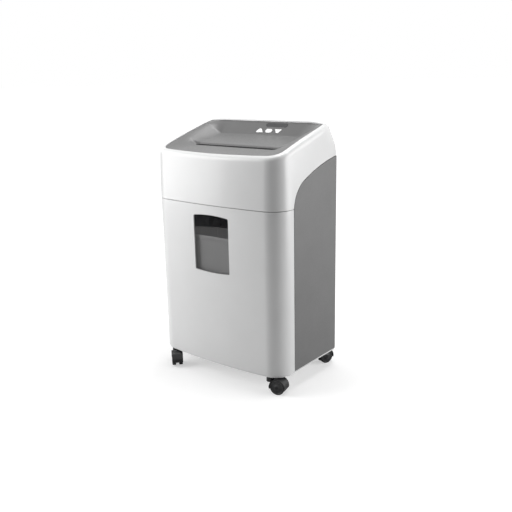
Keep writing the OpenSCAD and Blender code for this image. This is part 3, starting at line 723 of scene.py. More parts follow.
def make_finishes(colours):
    """Every finish the object uses."""
    shell = Finish("shell", colours.shell, 0.34, 0.0, Coat_Weight=0.25, Coat_Roughness=0.12)
    shell.tint(shell.noise(14, 3), 0.985, 1.015)
    shell.gloss(shell.noise(2600, 2), 0.31, 0.38)
    shell.relief(shell.noise(240, 2, 0.4), 0.05, 0.00002)
    shell.relief(shell.cells(3400), 0.04, 0.00001)

    plain_plastic("side", colours.side, 0.46, 1300, 0.16, 0.035)
    deck = plain_plastic("deck", colours.deck, 0.36, 1500, 0.12, 0.03)
    deck.relief(deck.noise(90, 2), 0.02, 0.00005)
    tub = plain_plastic("bin_plastic", colours.bin, 0.32, 700, 0.1, 0.04)
    # Painted light: a faint white glow brightens the bin, standing in for the light that reaches it through
    # the window.
    tub.glow(0.06)
    plain_plastic("black_plastic", colours.caster, 0.3, 1100, 0.12, 0.12)
    plain_plastic("red_plastic", (0.42, 0.02, 0.016), 0.3, 1400, 0.08, 0.06)
    key = plain_plastic("key_white", (0.93, 0.93, 0.93), 0.24, 1800, 0.05, 0.01)
    # Painted light: a faint white glow makes the keys brighter than the lamps alone leave them.
    key.glow(0.12)

    wheel = plain_plastic("wheel", (0.012, 0.012, 0.013), 0.36, 1600, 0.2, 0.2)
    wheel.tint(wheel.noise(160, 5, 0.7), 0.7, 1.9)

    steel = Finish("sheet_steel", (0.36, 0.37, 0.38), 0.38, 1.0)
    spangle = steel.cells(70, out="Color")
    grey = steel.add("ShaderNodeSeparateColor")
    steel.link(spangle, grey.inputs[0])
    steel.tint(grey.outputs[0], 0.82, 1.14, (0.0, 1.0))
    steel.gloss(grey.outputs[1], 0.3, 0.48, (0.0, 1.0))
    steel.relief(steel.noise(900, 2), 0.05)

    zinc = Finish("zinc_plate", (0.55, 0.54, 0.5), 0.3, 1.0)
    zinc.blend(zinc.noise(60, 4), (0.5, 0.5, 0.49), (0.6, 0.56, 0.46), (0.35, 0.7))
    zinc.gloss(zinc.noise(400, 3), 0.24, 0.4)
    zinc.relief(zinc.noise(1200, 2), 0.06)

    cutter = Finish("cutter_steel", (0.33, 0.33, 0.34), 0.32, 1.0, Coat_Weight=0.3)
    grind = cutter.noise(900, 2, vector=cutter.stretched((6, 0.6, 0.6)))
    cutter.tint(grind, 0.75, 1.15)
    cutter.gloss(grind, 0.24, 0.42)
    cutter.relief(grind, 0.12, 0.00003)
    cutter.relief(cutter.noise(35, 4), 0.05, 0.0001)

    nylon = Finish("gear_nylon", (0.72, 0.69, 0.6), 0.42, 0.0, Subsurface_Weight=0.05)
    nylon.tint(nylon.noise(40, 4), 0.93, 1.03)
    nylon.gloss(nylon.noise(300, 2), 0.36, 0.5)
    nylon.relief(nylon.noise(1500, 2), 0.08)

    bronze = Finish("bronze", (0.42, 0.25, 0.1), 0.42, 1.0)
    bronze.tint(bronze.noise(120, 4), 0.8, 1.2)
    pores = bronze.cells(1500)
    bronze.relief(pores, 0.3, 0.00008)
    bronze.gloss(pores, 0.5, 0.32, (0.0, 0.6))

    winding = Finish("winding", (0.5, 0.19, 0.07), 0.3, 0.7)
    wires = winding.add("ShaderNodeTexWave", bands_direction="DIAGONAL")
    wires.inputs["Scale"].default_value = 380
    wires.inputs["Distortion"].default_value = 1.5
    winding.link(winding.coords, wires.inputs["Vector"])
    winding.tint(wires.outputs["Fac"], 0.5, 1.2, (0.1, 0.9))
    winding.relief(wires.outputs["Fac"], 0.5, 0.0002)

    board = Finish("circuit_board", (0.02, 0.13, 0.06), 0.32)
    tracks = board.add("ShaderNodeTexBrick", offset=0.5)
    for socket, value in (
        ("Scale", 90), ("Color1", (0.02, 0.13, 0.06, 1)), ("Color2", (0.025, 0.17, 0.08, 1)),
        ("Mortar", (0.05, 0.26, 0.12, 1)), ("Mortar Size", 0.03),
    ):
        tracks.inputs[socket].default_value = value
    board.link(board.coords, tracks.inputs["Vector"])
    board.link(tracks.outputs["Color"], board.shader.inputs["Base Color"])
    board.relief(tracks.outputs["Fac"], 0.2, 0.00003)

    plain_plastic("board_part", (0.02, 0.02, 0.022), 0.4, 1800, 0.15, 0.2)
    sleeve = plain_plastic("capacitor", (0.74, 0.74, 0.72), 0.35, 1200, 0.08, 0.03)
    band = sleeve.add("ShaderNodeTexWave", bands_direction="Z")
    band.inputs["Scale"].default_value = 18
    sleeve.link(sleeve.coords, band.inputs["Vector"])
    sleeve.blend(band.outputs["Fac"], (0.74, 0.74, 0.72), (0.5, 0.52, 0.56), (0.9, 0.96))

    smoke = (0.006, 0.006, 0.007)
    glass = Finish("smoked_window", smoke, 0.05, 0.0, Alpha=0.22, Specular_IOR_Level=0.15)
    glass.tint(glass.noise(8, 2), 0.8, 1.2)
    glass.gloss(glass.noise(60, 3), 0.03, 0.08)
    glass.material.surface_render_method = "BLENDED"

    display = Finish("display", (0.06, 0.06, 0.062), 0.16)
    display.tint(display.noise(30, 3), 0.9, 1.1)
    display.gloss(display.noise(200, 3), 0.12, 0.22)
    display.relief(display.noise(900, 2), 0.02)


# Nodes that keep their shape, by finish
KEPT_NODES = {
    "sheet_steel": (
        "inner_wall_left", "inner_wall_right", "mechanism_shelf", "gear_side_plate", "board_side_plate",
        "motor_cradle", "stripper_comb_front", "stripper_comb_rear",
    ),
    "zinc_plate": ("tie_rods", "idler_axle", "motor_can"),
    "black_plastic": (
        "bin_rails", "bin_clips", "throat_guide", "motor_fan", "interlock_switch", "sensor_bracket",
        "caster_sockets",
    ),
    "cutter_steel": ("front_shaft", "rear_shaft", "front_sync_gear", "rear_sync_gear", "motor_rotor"),
    "gear_nylon": ("drive_gear", "idler_gear", "sensor_lever"),
    "bronze": ("shaft_bushes",),
    "winding": ("motor_stator",),
    "circuit_board": ("control_board", "key_board"),
    "board_part": ("board_parts",),
    "capacitor": ("motor_capacitor",),
    "smoked_window": ("window_lens",),
    "red_plastic": ("interlock_plunger",),
}


# ---------- outer covers ----------


def head_cover_skin(sizes):
    """Outer skin of the head: walls that lean in and roll over at the rim, and the cap over the back."""
    crest = sizes.crest_round / MM
    arc_ys = [
        SIDE_ARC_Y - (SIDE_ARC_R + SEAM_GAP) * math.cos(a)
        for a in (math.radians(d) for d in (0, 5.65, 9, 13, 18, 24, 30, 36, 42, 48, 54, 60, 65))
    ]
    cap_ys = [107, 104, 101, 98, 95, 92.5, 90, 88, 86, OPENING_Y]
    side_ys = cap_ys + [81, 78, 74, 68, 60, 50, 40, 30, 20, 10, 0, -8] + arc_ys[::-1] + [-58]
    across = 28
    edge_x = HALF_W - REAR_R
    rear_xs = [-edge_x + 2 * edge_x * j / across for j in range(1, across)]
    # Each row is a share of the wall's height, then an angle round the rolled rim
    levels = [(t, 0.0) for t in (0, 0.2, 0.4, 0.6, 0.8, 0.92, 1)]
    levels += [(1, math.radians(d)) for d in (15, 30, 45, 60, 75, 90)]
    foot = plan_outline(0, 20, 40, side_ys, rear_xs)
    rim = plan_outline(LEAN + RIM_R, 20, 40, side_ys, rear_xs)
    points = []
    outlines = {}
    for share, roll in levels:
        for n, (x, y) in enumerate(foot):
            high = BACK_Z if y > HALF_D - NEAR else top_line(rim[n][1] if y < 0 else y, crest)
            low, r = foot_line(y), rim_radius(y)
            z = low + (high - r - low) * share
            lean = LEAN * ((z - COVER_FOOT) / (high - r - COVER_FOOT)) ** 2 + r * (1 - math.cos(roll))
            if y < 0:
                key = round(lean, 4)
                if key not in outlines:
                    outlines[key] = plan_outline(lean, 20, 40, side_ys, rear_xs)
                x, y = outlines[key][n]
            else:
                x *= 1 - (lean + rear_round(y) * share**4) / HALF_W
            points.append((x, y, z + r * math.sin(roll)))
    faces = [tuple(reversed(f)) for f in grid_faces(len(levels), len(foot), closed=True)]
    # Cap rows run from the rear edge to the opening, each between the two side walls
    turn = [math.pi / 2 * k / REAR_STEPS for k in range(REAR_STEPS, 0, -1)]
    ys = [HALF_D - REAR_R + REAR_R * math.sin(a) for a in turn] + cap_ys
    xs = [HALF_W - REAR_R + REAR_R * math.cos(a) for a in turn] + [HALF_W] * len(cap_ys)
    first = len(points)
    for x, y in zip(xs, ys):
        edge = x * (1 - (LEAN + rim_radius(y) + rear_round(y)) / HALF_W)
        for j in range(across + 1):
            u = edge * (2 * j / across - 1)
            z = BACK_Z if y > HALF_D - NEAR else crest_height(u, y, edge, crest)
            points.append((u, y, z))
    faces += [tuple(reversed(f)) for f in grid_faces(len(ys), across + 1, first)]
    return merge(mesh_object("head_cover_shell", points, faces), 0.01, outward=False)


def rim_radius(y):
    """Radius of the rolled rim, smaller towards the rear corners."""
    return RIM_R - RIM_R_LOSS * soft_step((y - OPENING_Y) / RIM_R_LOSS_L)


def rear_round(y):
    """How far the head's upper edge stands in from the side wall towards the rear corner."""
    past = max(y - (HALF_D - REAR_IN_L), 0) / REAR_IN_L
    return REAR_IN * past**2


def build_head_cover(sizes):
    """Head cover with a rolled rim, an eased foot and a rounded back."""
    piece = head_cover_skin(sizes)
    thicken(piece, WALL)
    round_edges(piece, sizes.edge_round / MM, 2, 50)
    shade(piece)
    place(piece, "shell", "cabinet", ("head_cover",))


def deck_middle(x, y):
    """Height of the deck's level part and of the key slope, with the crease between them softened."""
    if y < SLOT_Y:
        start = deck_front(x)
        front = rim_line(start) - DECK_LIP
        return SLOT_Z + (SLOT_Z - front) / (SLOT_Y - start) * (y - SLOT_Y)
    level = SLOT_Z + (SLOPE_Z - SLOT_Z) / (SLOPE_Y - SLOT_Y) * (y - SLOT_Y)
    slope = SLOPE_Z + (y - SLOPE_Y) * math.tan(SLOPE_ANGLE)
    return -soft_min(-level, -slope, SLOPE_CREASE) if y > SLOPE_Y - 6 else level


def deck_height(x, y, sizes):
    """Height of the deck: level middle, sides swept up to the rim, and a groove along the slot."""
    edge = DECK_EDGE - (rear_round(y) if y > 0 else 0)
    t = soft_step((abs(x) - DECK_FLAT) / (edge - DECK_FLAT))
    side = top_line(y, sizes.crest_round / MM) - DECK_LIP
    z = deck_middle(x, y) * (1 - t) + side * t
    past = max(abs(x) - SLOT_HALF_L, 0) / (sizes.slot_taper / MM)
    spread = GROOVE_FRONT if y < SLOT_Y else GROOVE_REAR
    groove = math.exp(-(((y - SLOT_Y) / spread) ** 2)) * (1 - soft_step(past))
    return z - groove * sizes.slot_dip / MM


def deck_front(x):
    """Front edge of the deck."""
    inset = LEAN + RIM_R + DECK_GAP
    reach = CORNER_X + (CORNER_R - inset) * math.sin(CORNER_TURN)
    if abs(x) < reach:
        return BOW_Y - math.sqrt((BOW_R - inset) ** 2 - x * x)
    return CORNER_Y - math.sqrt(max((CORNER_R - inset) ** 2 - (abs(x) - CORNER_X) ** 2, 0))


def build_feed_deck(sizes):
    """Feed deck: two dense fields that meet past the ends of the slot, with holes for keys and display."""
    # Columns lie closer together at the ends of the slot and at the rim
    half = [*range(0, 97, 8), 102, 106, 109, 110.6, 111.6, 112.4, 112.8, SLOT_HALF_L, *range(115, 149, 3)]
    half += [150.5, 152.8, 154.8, 156.5, 157.9, 158.9, 159.7, DECK_EDGE]
    xs = [-x for x in reversed(half[1:])] + half
    lip = [0, 0.5, 1.1, 2, 3.2, 4.8, 7]
    reach = lip[-1]

    def opening(x):
        past = abs(x) - (SLOT_HALF_L - SLOT_HALF_W)
        return SLOT_HALF_W * math.sqrt(max(1 - (past / SLOT_HALF_W) ** 2, 0)) if past > 0 else SLOT_HALF_W

    front_rows = []
    for t in [k / 16 for k in range(16)]:
        front_rows.append([deck_front(x) + (SLOT_Y - reach - deck_front(x)) * t for x in xs])
    for d in reversed(lip):
        front_rows.append([SLOT_Y - d - opening(x) * (1 - d / reach) for x in xs])
    rear_rows = [[SLOT_Y + d + opening(x) * (1 - d / reach) for x in xs] for d in lip]
    level_ys = [-8, -3, 3, *range(10, 43, 8), 49, 54, 56.5, 58, 58.8, 59.5, 60.2, 60.9, 61.8, 63, 65]
    rear_rows += [[y] * len(xs) for y in (*level_ys, *range(68, OPENING_Y + 1, 4))]
    verts, faces = [], []
    for rows in (front_rows, rear_rows):
        faces += grid_faces(len(rows), len(xs), len(verts))
        for row in rows:
            for x, y in zip(xs, row):
                u = x * (1 - rear_round(y) / DECK_EDGE) if y > 0 else x
                verts.append((u, y, deck_height(u, y, sizes)))
    piece = merge(mesh_object("feed_deck_skin", verts, faces), 0.004, outward=False)
    thicken(piece, DECK_T)
    holes = [(key_outline(k, 0.4), slope_matrix(KEY_MID_X + k * KEY_PITCH, KEY_UP)) for k in KEYS]
    holes.append((stadium(LENS_L + 0.3, LENS_W + 0.3), slope_matrix(LENS_X, LENS_UP)))
    for outline, here in holes:
        cut(piece, prism("hole", outline, -8, 6, here))
    round_edges(piece, 0.4, 2, 50)
    shade(piece, 34)
    place(piece, "deck", "cabinet", ("feed_deck",))


def build_keys():
    """Three keys with softly rounded caps, each with a flange below the deck and a post."""
    for k, word in KEYS.items():
        here = slope_matrix(KEY_MID_X + k * KEY_PITCH, KEY_UP)
        # Height and width of each ring, the width a share of the outline's
        cap = [(KEY_FLANGE, 1.0), (KEY_TOP - 0.7, 1.0), (KEY_TOP - 0.25, 0.97)]
        cap += [(KEY_TOP, 0.9), (KEY_TOP + 0.05, 0.6)]
        flange = [(KEY_FOOT, 1.0), (KEY_FLANGE, 1.0)]
        shapes = []
        for outline, steps in ((key_outline(k), cap), (key_outline(k, 1.3), flange)):
            shapes.append((*loft([[(x * s, y * s, z) for x, y in outline] for z, s in steps]), here))
        profile = [(-9.2, AXIS_R), (-9.2, 1.9), (-8.9, 2.2), (-3.9, 2.2), (-3.9, AXIS_R)]
        upright = here @ Matrix.Rotation(math.radians(-90), 4, "Y")
        shapes.append((*lathe(profile, 20), upright))
        piece = join_shapes(f"{word}_key_cap", shapes)
        shade(piece, 40)
        place(piece, "key_white", f"{word}_key", (f"key_{word}",))


def build_display():
    """Display lens with a crowned face and a flange below the deck."""
    here = slope_matrix(LENS_X, LENS_UP)
    # Height and inset of each ring of the face
    steps = ((-1.6, 0.0), (0.15, 0.0), (0.3, 0.12), (0.38, 0.35), (0.4, 0.9), (0.4, 2.5))
    face = [[(x, y, z) for x, y in stadium(LENS_L - 2 * inset, LENS_W - 2 * inset)] for z, inset in steps]
    flange = [[(x, y, z) for x, y in stadium(LENS_L + 3, LENS_W + 2)] for z in (-3, -1.7)]
    piece = join_shapes("display_window", [(*loft(face), here), (*loft(flange), here)])
    shade(piece, 30)
    place(piece, "display", "cabinet", ("display_lens",))


def build_front_panel(sizes):
    """Bin front: one bowed skin round both corners with the window cut out of it."""
    foot, top = PANEL_LOW[2], PANEL_HIGH[2]
    edge_y = SIDE_Y - SEAM_GAP
    columns = [p for p in plan_outline(0, 22, 48) if p[1] < CORNER_Y + NEAR]
    columns = [(HALF_W, edge_y)] + columns + [(-HALF_W, edge_y)]
    levels = [foot + (top - foot) * k / 10 for k in range(11)]
    verts = [(x, y, z) for z in levels for x, y in columns]
    faces = [tuple(reversed(f)) for f in grid_faces(len(levels), len(columns))]
    piece = mesh_object("bin_front", verts, faces)
    thicken(piece, WALL)
    upright = Matrix.Rotation(math.radians(90), 4, "X")
    cut(piece, prism("window_hole", window_outline(), HALF_D - 20, HALF_D + 20, upright))

    def join_level_faces(bm):
        bmesh.ops.dissolve_limit(bm, angle_limit=math.radians(0.05), verts=bm.verts, edges=bm.edges)

    edit(piece, join_level_faces)
    round_edges(piece, sizes.edge_round / MM, 3, 50)
    shade(piece)
    place(piece, "shell", "bin", ("front_panel",))


def build_panels(sizes):
    """Side panels and rear panel with eased edges."""
    width = sizes.edge_round / MM
    for side in ("left", "right"):
        piece = eased_copy(f"side_panel_{side}", f"side_cover_{side}", width, 3)
        place(piece, "side", "cabinet", (f"side_panel_{side}",))
    piece = eased_copy("rear_panel", "rear_cover", 0.5)
    place(piece, "side", "cabinet", ("rear_panel",))
    piece = eased_copy("base_plate", "base_tray", width, 3)
    place(piece, "shell", "cabinet", ("base_plate",))


def build_rear_fittings():
    """Power inlet, switch frame and rocker with small rounds."""
    for node, name, finish, body, width in (
        ("power_inlet", "mains_inlet", "black_plastic", "cabinet", 0.35),
        ("switch_bezel", "switch_frame", "black_plastic", "cabinet", 0.35),
        ("power_rocker", "rocker_paddle", "red_plastic", "rocker", 0.4),
    ):
        place(eased_copy(node, name, width), finish, body, (node,))


def build_screws():
    """Pan-head screws with a cross recess, in two columns down the rear panel's sides."""
    low, high = box_mm("panel_screws")
    head_r = 4
    profile = [(-0.55, AXIS_R), (-0.55, 3.6), (-0.3, 3.95), (0.25, 3.95), (0.6, 3.5)]
    profile += [(0.8, 2.7), (0.86, AXIS_R)]
    blank = join_shapes("screw_blank", [(*lathe(profile, 28), None)])
    slit = [(-2.3, -0.45), (2.3, -0.45), (2.3, 0.45), (-2.3, 0.45)]
    upright = Matrix.Rotation(math.radians(90), 4, "Y")
    for turn in (0, 90):
        cut(blank, prism("recess", slit, 0.2, 2, upright @ Matrix.Rotation(math.radians(turn), 4, "Z")))
    blank.data.transform(Matrix.Rotation(math.radians(90), 4, "Z"))
    middle_y = (low[1] + high[1]) / 2
    places = [(x, middle_y, z) for x in (low[0] + head_r, high[0] - head_r) for z in (60, 230, 400, 468)]
    piece = repeat("rear_screws", blank, places, "zinc_plate", axis=(0, 1, 0), scatter=1.5, seed=11)
    shade(piece, 35, weighted=False)
    place(piece, "zinc_plate", "cabinet", ("panel_screws",))


# ---------- bin, cutters, casters ----------


def bin_outline(inset, steps=10):
    """Plan outline of the bin, counter-clockwise from the right rear corner."""
    half = BIN_HIGH[0] - inset
    front, rear = BIN_LOW[1] + inset, BIN_HIGH[1] - inset
    rf, rr = max(BIN_FRONT_R - inset, 1), max(BIN_REAR_R - inset, 1)
    points = []
    for cx, cy, r, start in (
        (half - rr, rear - rr, rr, 0), (-half + rr, rear - rr, rr, 90),
        (-half + rf, front + rf, rf, 180), (half - rf, front + rf, rf, 270),
    ):
        for k in range(steps + 1):
            a = math.radians(start + 90 * k / steps)
            points.append((cx + r * math.cos(a), cy + r * math.sin(a)))
    return points


def build_bin():
    """Waste bin with drafted walls, a rolled rim that falls to the rear and a raised floor edge."""
    top, floor = BIN_HIGH[2], BIN_LOW[2]

    def rim(y):
        fall = (y - BIN_LOW[1] - BIN_FRONT_R) / (BIN_HIGH[1] - BIN_LOW[1] - BIN_FRONT_R)
        return top - BIN_REAR_DROP * min(max(fall, 0), 1)

    # Inset and height of each ring, up the outside and down the inside, the height a share of the rim's
    path = [(6, 0.0), (3.2, 0.0), (2.2, 0.004), (1.8, 0.012), (1.4, 0.3), (1.0, 0.6), (0.6, 0.955)]
    path += [(0.55, 0.962), (0.0, 0.966), (0.0, 0.992), (0.5, 1.0), (1.7, 1.0), (2.4, 0.994), (2.6, 0.985)]
    path += [(2.9, 0.6), (3.2, 0.3), (3.6, 0.03), (4.6, 0.013), (6.5, 0.0102)]
    rings = []
    for inset, part in path:
        rings.append([(x, y, floor + (rim(y) - floor) * part) for x, y in bin_outline(inset)])
    piece = merge(mesh_object("shred_bin", *loft(rings)), 0.01)
    shade(piece, 40)
    place(piece, "bin_plastic", "bin", ("waste_bin",))


def disc_outline():
    """Edge of a cutting disc: round lands between hooked notches."""
    points = []
    pitch = 2 * math.pi / DISC_TEETH
    for k in range(DISC_TEETH):
        base = 2 * math.pi * k / DISC_TEETH
        for j in range(LAND_STEPS):
            a = base + pitch * 0.78 * j / (LAND_STEPS - 1)
            points.append((DISC_R * math.cos(a), DISC_R * math.sin(a)))
        for r, part in ((DISC_R - 2.4, 0.8), (DISC_R - 2.7, 0.88), (DISC_R - 1.2, 0.96)):
            a = base + pitch * part
            points.append((r * math.cos(a), r * math.sin(a)))
    return points


def build_cutters(sizes):
    """Both stacks of notched cutting discs with their spacers."""
    edge = disc_outline()
    n = len(edge)
    turns = [2 * math.pi * k / n for k in range(n)]
    spacer = [(SPACER_R * math.cos(a), SPACER_R * math.sin(a)) for a in turns]
    bore = [(x * BORE_R / SPACER_R, y * BORE_R / SPACER_R) for x, y in spacer]
    rings = [(0, bore), (0, edge), (DISC_T, edge), (DISC_T, spacer)]
    rings += [(DISC_PITCH, spacer), (DISC_PITCH, bore)]
    points = [(x, a, b) for x, ring in rings for a, b in ring]
    last = n * (len(rings) - 1)
    faces = grid_faces(len(rings), n, closed=True)
    faces += [(last + k, last + (k + 1) % n, (k + 1) % n, k) for k in range(n)]
    for end, y, x0, twist in (
        ("front", FRONT_SHAFT_Y, DISC_X0 + DISC_PITCH / 2, 1),
        ("rear", REAR_SHAFT_Y, DISC_X0, -1),
    ):
        template = merge(mesh_object("disc_blank", points, faces))
        places = [(x0 + k * DISC_PITCH, y, SHAFT_Z) for k in range(DISC_N)]
        step = twist * sizes.disc_twist
        piece = repeat(f"{end}_cutter_stack", template, places, "cutter_steel", step=step)
        shade(piece, 25, weighted=False)
        place(piece, "cutter_steel", f"{end}_cutter", (f"{end}_discs",))


def build_casters():
    """Twin-wheel casters: hooded housings and wheels with hub caps and rounded treads."""
    half = WHEEL_W / 2 - WHEEL_GAP
    r = WHEEL_R
    # Place along the axle and radius: the inner face, the grooved tread, then the outer face and hub cap
    profile = [
        (-half, AXIS_R), (-half, 3), (-half + 0.5, 3.4), (-half + 0.5, r - 4.6), (-half, r - 4.2),
        (-half, r - 1.6), (-half + 0.5, r - 0.5), (-half + 1.4, r), (-0.5, r), (-0.3, r - 0.35),
        (0.3, r - 0.35), (0.5, r), (half - 1.4, r), (half - 0.5, r - 0.5), (half, r - 1.6),
        (half, r - 3.2), (half - 0.9, r - 3.9), (half - 0.9, 6.4), (half - 0.5, 5.9), (half - 0.1, 5.2),
        (half, 3.6), (half, AXIS_R),
    ]
    reach = WHEEL_W + WEB_T / 2
    axle = [(-reach, AXIS_R), (-reach, AXLE_R), (reach, AXLE_R), (reach, AXIS_R)]
    for key in CASTERS:
        here = caster_matrix(key)
        shapes = []
        for side in (1, -1):
            out = Matrix.Rotation(math.radians(90 * side), 4, "Z")
            shift = Matrix.Translation((0, side * (WEB_T / 2 + WHEEL_W / 2 + WHEEL_GAP), 0))
            shapes.append((*lathe(profile, 44), here @ shift @ out))
        shapes.append((*lathe(axle, 20), here @ Matrix.Rotation(math.radians(90), 4, "Z")))
        wheels = join_shapes(f"twin_wheels_{key}", shapes)
        shade(wheels, 40, weighted=False)
        place(wheels, "wheel", f"wheel_pair_{key}", (f"wheels_{key}",))
        housing = eased_copy(f"caster_{key}", f"caster_hood_{key}", 0.45)
        place(housing, "black_plastic", f"swivel_{key}", (f"caster_{key}",))


# ---------- stage ----------


LIGHT_AIM = (0, 0, 0.28)
FLOOR_Z, FLOOR_SIDES = -0.02, 64


def area_light(name, azimuth, height, reach, width, tall, power):
    """Soft light in a direction round the object; azimuth 0 is in front and 90 on the right."""
    a = math.radians(azimuth)
    data = bpy.data.lights.new(name, "AREA")
    data.shape = "RECTANGLE"
    data.size, data.size_y = width, tall
    data.energy = power
    lamp = bpy.data.objects.new(name, data)
    lamp.location = (math.sin(a) * reach, -math.cos(a) * reach, height)
    lamp.rotation_euler = (Vector(LIGHT_AIM) - lamp.location).to_track_quat("-Z", "Y").to_euler()
    bpy.context.scene.collection.objects.link(lamp)


def build_floor():
    """Round pale floor, which grows brighter away from the object and only to the camera."""
    verts = [(0, 0, FLOOR_Z)]
    rings = (0.4, 1.0, 3.0, 9.0, 30.0)
    for r in rings:
        for k in range(FLOOR_SIDES):
            a = 2 * math.pi * k / FLOOR_SIDES
            verts.append((r / MM * math.cos(a), r / MM * math.sin(a), FLOOR_Z))
    faces = [(0, 1 + k, 1 + (k + 1) % FLOOR_SIDES) for k in range(FLOOR_SIDES)]
    faces += grid_faces(len(rings), FLOOR_SIDES, 1, closed=True)
    floor = merge(mesh_object("floor", verts, faces))
    sheet = bpy.data.materials.new("floor_sheet")
    sheet.use_nodes = True
    nodes, links = sheet.node_tree.nodes, sheet.node_tree.links
    shader = nodes["Principled BSDF"]
    shader.inputs["Base Color"].default_value = (0.55, 0.55, 0.55, 1)
    shader.inputs["Roughness"].default_value = 0.9
    shader.inputs["Specular IOR Level"].default_value = 0.1
    coords = nodes.new("ShaderNodeTexCoord")
    far = nodes.new("ShaderNodeVectorMath")
    far.operation = "LENGTH"
    glow = nodes.new("ShaderNodeMapRange")
    for socket, value in (("From Min", 0.25), ("From Max", 1.6), ("To Min", 0.5), ("To Max", 1.0)):
        glow.inputs[socket].default_value = value
    shader.inputs["Emission Color"].default_value = (1, 1, 1, 1)
    links.new(coords.outputs["Object"], far.inputs[0])
    links.new(far.outputs["Value"], glow.inputs["Value"])
    seen = nodes.new("ShaderNodeLightPath")
    only = nodes.new("ShaderNodeMath")
    only.operation = "MULTIPLY"
    links.new(glow.outputs[0], only.inputs[0])
    links.new(seen.outputs["Is Camera Ray"], only.inputs[1])
    links.new(only.outputs[0], shader.inputs["Emission Strength"])
    floor.data.materials.append(sheet)


def build_surroundings():
    """Surroundings that are white to the camera and to reflections and dim as a light."""
    world = bpy.data.worlds.new("surroundings")
    bpy.context.scene.world = world
    world.use_nodes = True
    nodes, links = world.node_tree.nodes, world.node_tree.links
    back = nodes["Background"]
    back.inputs["Color"].default_value = (1, 1, 1, 1)
    path = nodes.new("ShaderNodeLightPath")
    level = nodes.new("ShaderNodeMapRange")
    level.inputs["To Min"].default_value = 0.085
    level.inputs["To Max"].default_value = 1.0
    seen = nodes.new("ShaderNodeMath")
    seen.operation = "MAXIMUM"
    links.new(path.outputs["Is Camera Ray"], seen.inputs[0])
    links.new(path.outputs["Is Glossy Ray"], seen.inputs[1])
    links.new(seen.outputs[0], level.inputs["Value"])
    links.new(level.outputs[0], back.inputs["Strength"])


def build_camera():
    """Camera in front, to the right and a little above, rolled slightly."""
    data = bpy.data.cameras.new("studio_camera")
    data.sensor_width = 36
    data.lens = 49.22
    camera = bpy.data.objects.new("studio_camera", data)
    azimuth, elevation, roll = (math.radians(a) for a in (38.33, 15.14, -1.21))
    level = math.cos(elevation)
    away = Vector((math.sin(azimuth) * level, -math.cos(azimuth) * level, math.sin(elevation)))
    right = Vector((math.cos(azimuth), math.sin(azimuth), 0))
    up = away.cross(right)
    aim, distance = Vector((0, 0, 0.2166)), 1.608
    centre = aim + away * distance + right * 0.0257 + up * 0.0416
    across = right * math.cos(roll) + up * math.sin(roll)
    upward = up * math.cos(roll) - right * math.sin(roll)
    camera.matrix_world = Matrix((
        (across.x, upward.x, away.x, centre.x),
        (across.y, upward.y, away.y, centre.y),
        (across.z, upward.z, away.z, centre.z),
        (0, 0, 0, 1),
    ))
    bpy.context.scene.collection.objects.link(camera)
    bpy.context.scene.camera = camera


def build_stage():
    """Pale floor, soft lights, pale surroundings and the camera."""
    settings = bpy.context.scene.view_settings
    settings.view_transform = "Standard"
    settings.look = "None"
    build_floor()
    area_light("left_window", -54, 0.85, 1.7, 1.3, 1.7, 36)
    area_light("right_window", 120, 0.6, 1.7, 1.2, 1.3, 23)
    area_light("overhead", 180, 2.1, 0.4, 1.2, 1.2, 30)
    build_surroundings()
    build_camera()


def paint_kept_nodes():
    """Gives every node that keeps its shape its finish."""
    for finish, names in KEPT_NODES.items():
        for name in names:
            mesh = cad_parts[name].data
            mesh.materials.clear()
            mesh.materials.append(FINISH[finish])


# ---------- operators ----------


class SHREDDER_OT_stage(bpy.types.Operator):
    """Make the floor, the lights, the surroundings and the camera"""

    bl_idname = "shredder.stage"
    bl_label = "Stage"

    def execute(self, context):
        build_stage()
        return {"FINISHED"}


class SHREDDER_OT_finishes(bpy.types.Operator):
    """Make every material and paint the parts that keep their shape"""

    bl_idname = "shredder.finishes"
    bl_label = "Finishes"

    def execute(self, context):
        make_finishes(context.scene.shredder_colours)
        paint_kept_nodes()
        return {"FINISHED"}


class SHREDDER_OT_head(bpy.types.Operator):
    """Make the head cover with its rolled rim and rounded back"""

    bl_idname = "shredder.head"
    bl_label = "Head cover"

    def execute(self, context):
        build_head_cover(context.scene.shredder_sizes)
        return {"FINISHED"}


class SHREDDER_OT_deck(bpy.types.Operator):
    """Make the feed deck with its slot and the holes for keys and display"""

    bl_idname = "shredder.deck"
    bl_label = "Feed deck"

    def execute(self, context):
        build_feed_deck(context.scene.shredder_sizes)
        return {"FINISHED"}


class SHREDDER_OT_keys(bpy.types.Operator):
    """Make the three key caps"""

    bl_idname = "shredder.keys"
    bl_label = "Keys"

    def execute(self, context):
        build_keys()
        return {"FINISHED"}


class SHREDDER_OT_display(bpy.types.Operator):
    """Make the display lens beside the keys"""

    bl_idname = "shredder.display"
    bl_label = "Display"

    def execute(self, context):
        build_display()
        return {"FINISHED"}


class SHREDDER_OT_front(bpy.types.Operator):
    """Make the bowed bin front with its window opening"""

    bl_idname = "shredder.front"
    bl_label = "Bin front"

    def execute(self, context):
        build_front_panel(context.scene.shredder_sizes)
        return {"FINISHED"}


class SHREDDER_OT_panels(bpy.types.Operator):
    """Make the side covers, the rear cover and the base tray"""

    bl_idname = "shredder.panels"
    bl_label = "Side and rear covers"

    def execute(self, context):
        build_panels(context.scene.shredder_sizes)
        return {"FINISHED"}


class SHREDDER_OT_fittings(bpy.types.Operator):
    """Make the power inlet and the rocker switch"""

    bl_idname = "shredder.fittings"
    bl_label = "Inlet and switch"

    def execute(self, context):
        build_rear_fittings()
        return {"FINISHED"}


class SHREDDER_OT_screws(bpy.types.Operator):
    """Make the screws of the rear cover"""

    bl_idname = "shredder.screws"
    bl_label = "Screws"

    def execute(self, context):
        build_screws()
        return {"FINISHED"}


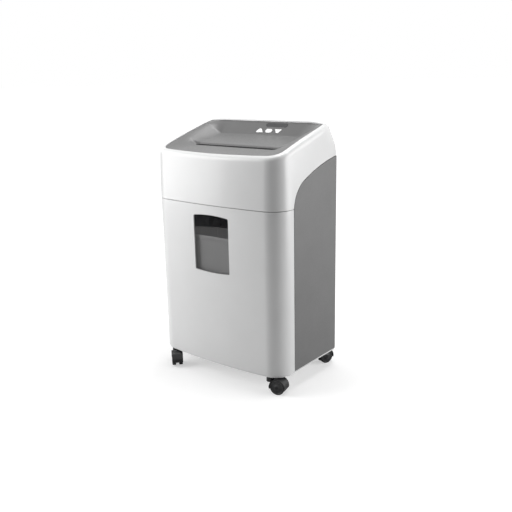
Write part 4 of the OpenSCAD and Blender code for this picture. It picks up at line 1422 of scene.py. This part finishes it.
class SHREDDER_OT_bin(bpy.types.Operator):
    """Make the waste bin with its rolled rim"""

    bl_idname = "shredder.bin"
    bl_label = "Waste bin"

    def execute(self, context):
        build_bin()
        return {"FINISHED"}


class SHREDDER_OT_cutters(bpy.types.Operator):
    """Make the two stacks of cutting discs"""

    bl_idname = "shredder.cutters"
    bl_label = "Cutters"

    def execute(self, context):
        build_cutters(context.scene.shredder_sizes)
        return {"FINISHED"}


class SHREDDER_OT_casters(bpy.types.Operator):
    """Make the caster housings and their twin wheels"""

    bl_idname = "shredder.casters"
    bl_label = "Casters"

    def execute(self, context):
        build_casters()
        return {"FINISHED"}


STEPS = (
    SHREDDER_OT_stage, SHREDDER_OT_finishes, SHREDDER_OT_head, SHREDDER_OT_deck, SHREDDER_OT_keys,
    SHREDDER_OT_display, SHREDDER_OT_front, SHREDDER_OT_panels, SHREDDER_OT_fittings, SHREDDER_OT_screws,
    SHREDDER_OT_bin, SHREDDER_OT_cutters, SHREDDER_OT_casters,
)


class SHREDDER_PT_panel(bpy.types.Panel):
    """Sidebar panel with the sizes, the colours and a button for each step"""

    bl_idname = "SHREDDER_PT_panel"
    bl_label = "Paper shredder"
    bl_space_type = "VIEW_3D"
    bl_region_type = "UI"
    bl_category = "Shredder"

    def draw(self, context):
        for group in (context.scene.shredder_sizes, context.scene.shredder_colours):
            box = self.layout.box()
            for name in group.__annotations__:
                box.prop(group, name)
        for step in STEPS:
            self.layout.operator(step.bl_idname)


CLASSES = (ShredderSizes, ShredderColours, *STEPS, SHREDDER_PT_panel)


def register():
    for item in CLASSES:
        bpy.utils.register_class(item)
    bpy.types.Scene.shredder_sizes = bpy.props.PointerProperty(type=ShredderSizes)
    bpy.types.Scene.shredder_colours = bpy.props.PointerProperty(type=ShredderColours)


def unregister():
    del bpy.types.Scene.shredder_colours
    del bpy.types.Scene.shredder_sizes
    for item in reversed(CLASSES):
        bpy.utils.unregister_class(item)


def main():
    """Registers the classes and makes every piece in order."""
    register()
    for step in STEPS:
        group, name = step.bl_idname.split(".")
        getattr(getattr(bpy.ops, group), name)()


if __name__ == "__main__":
    main()
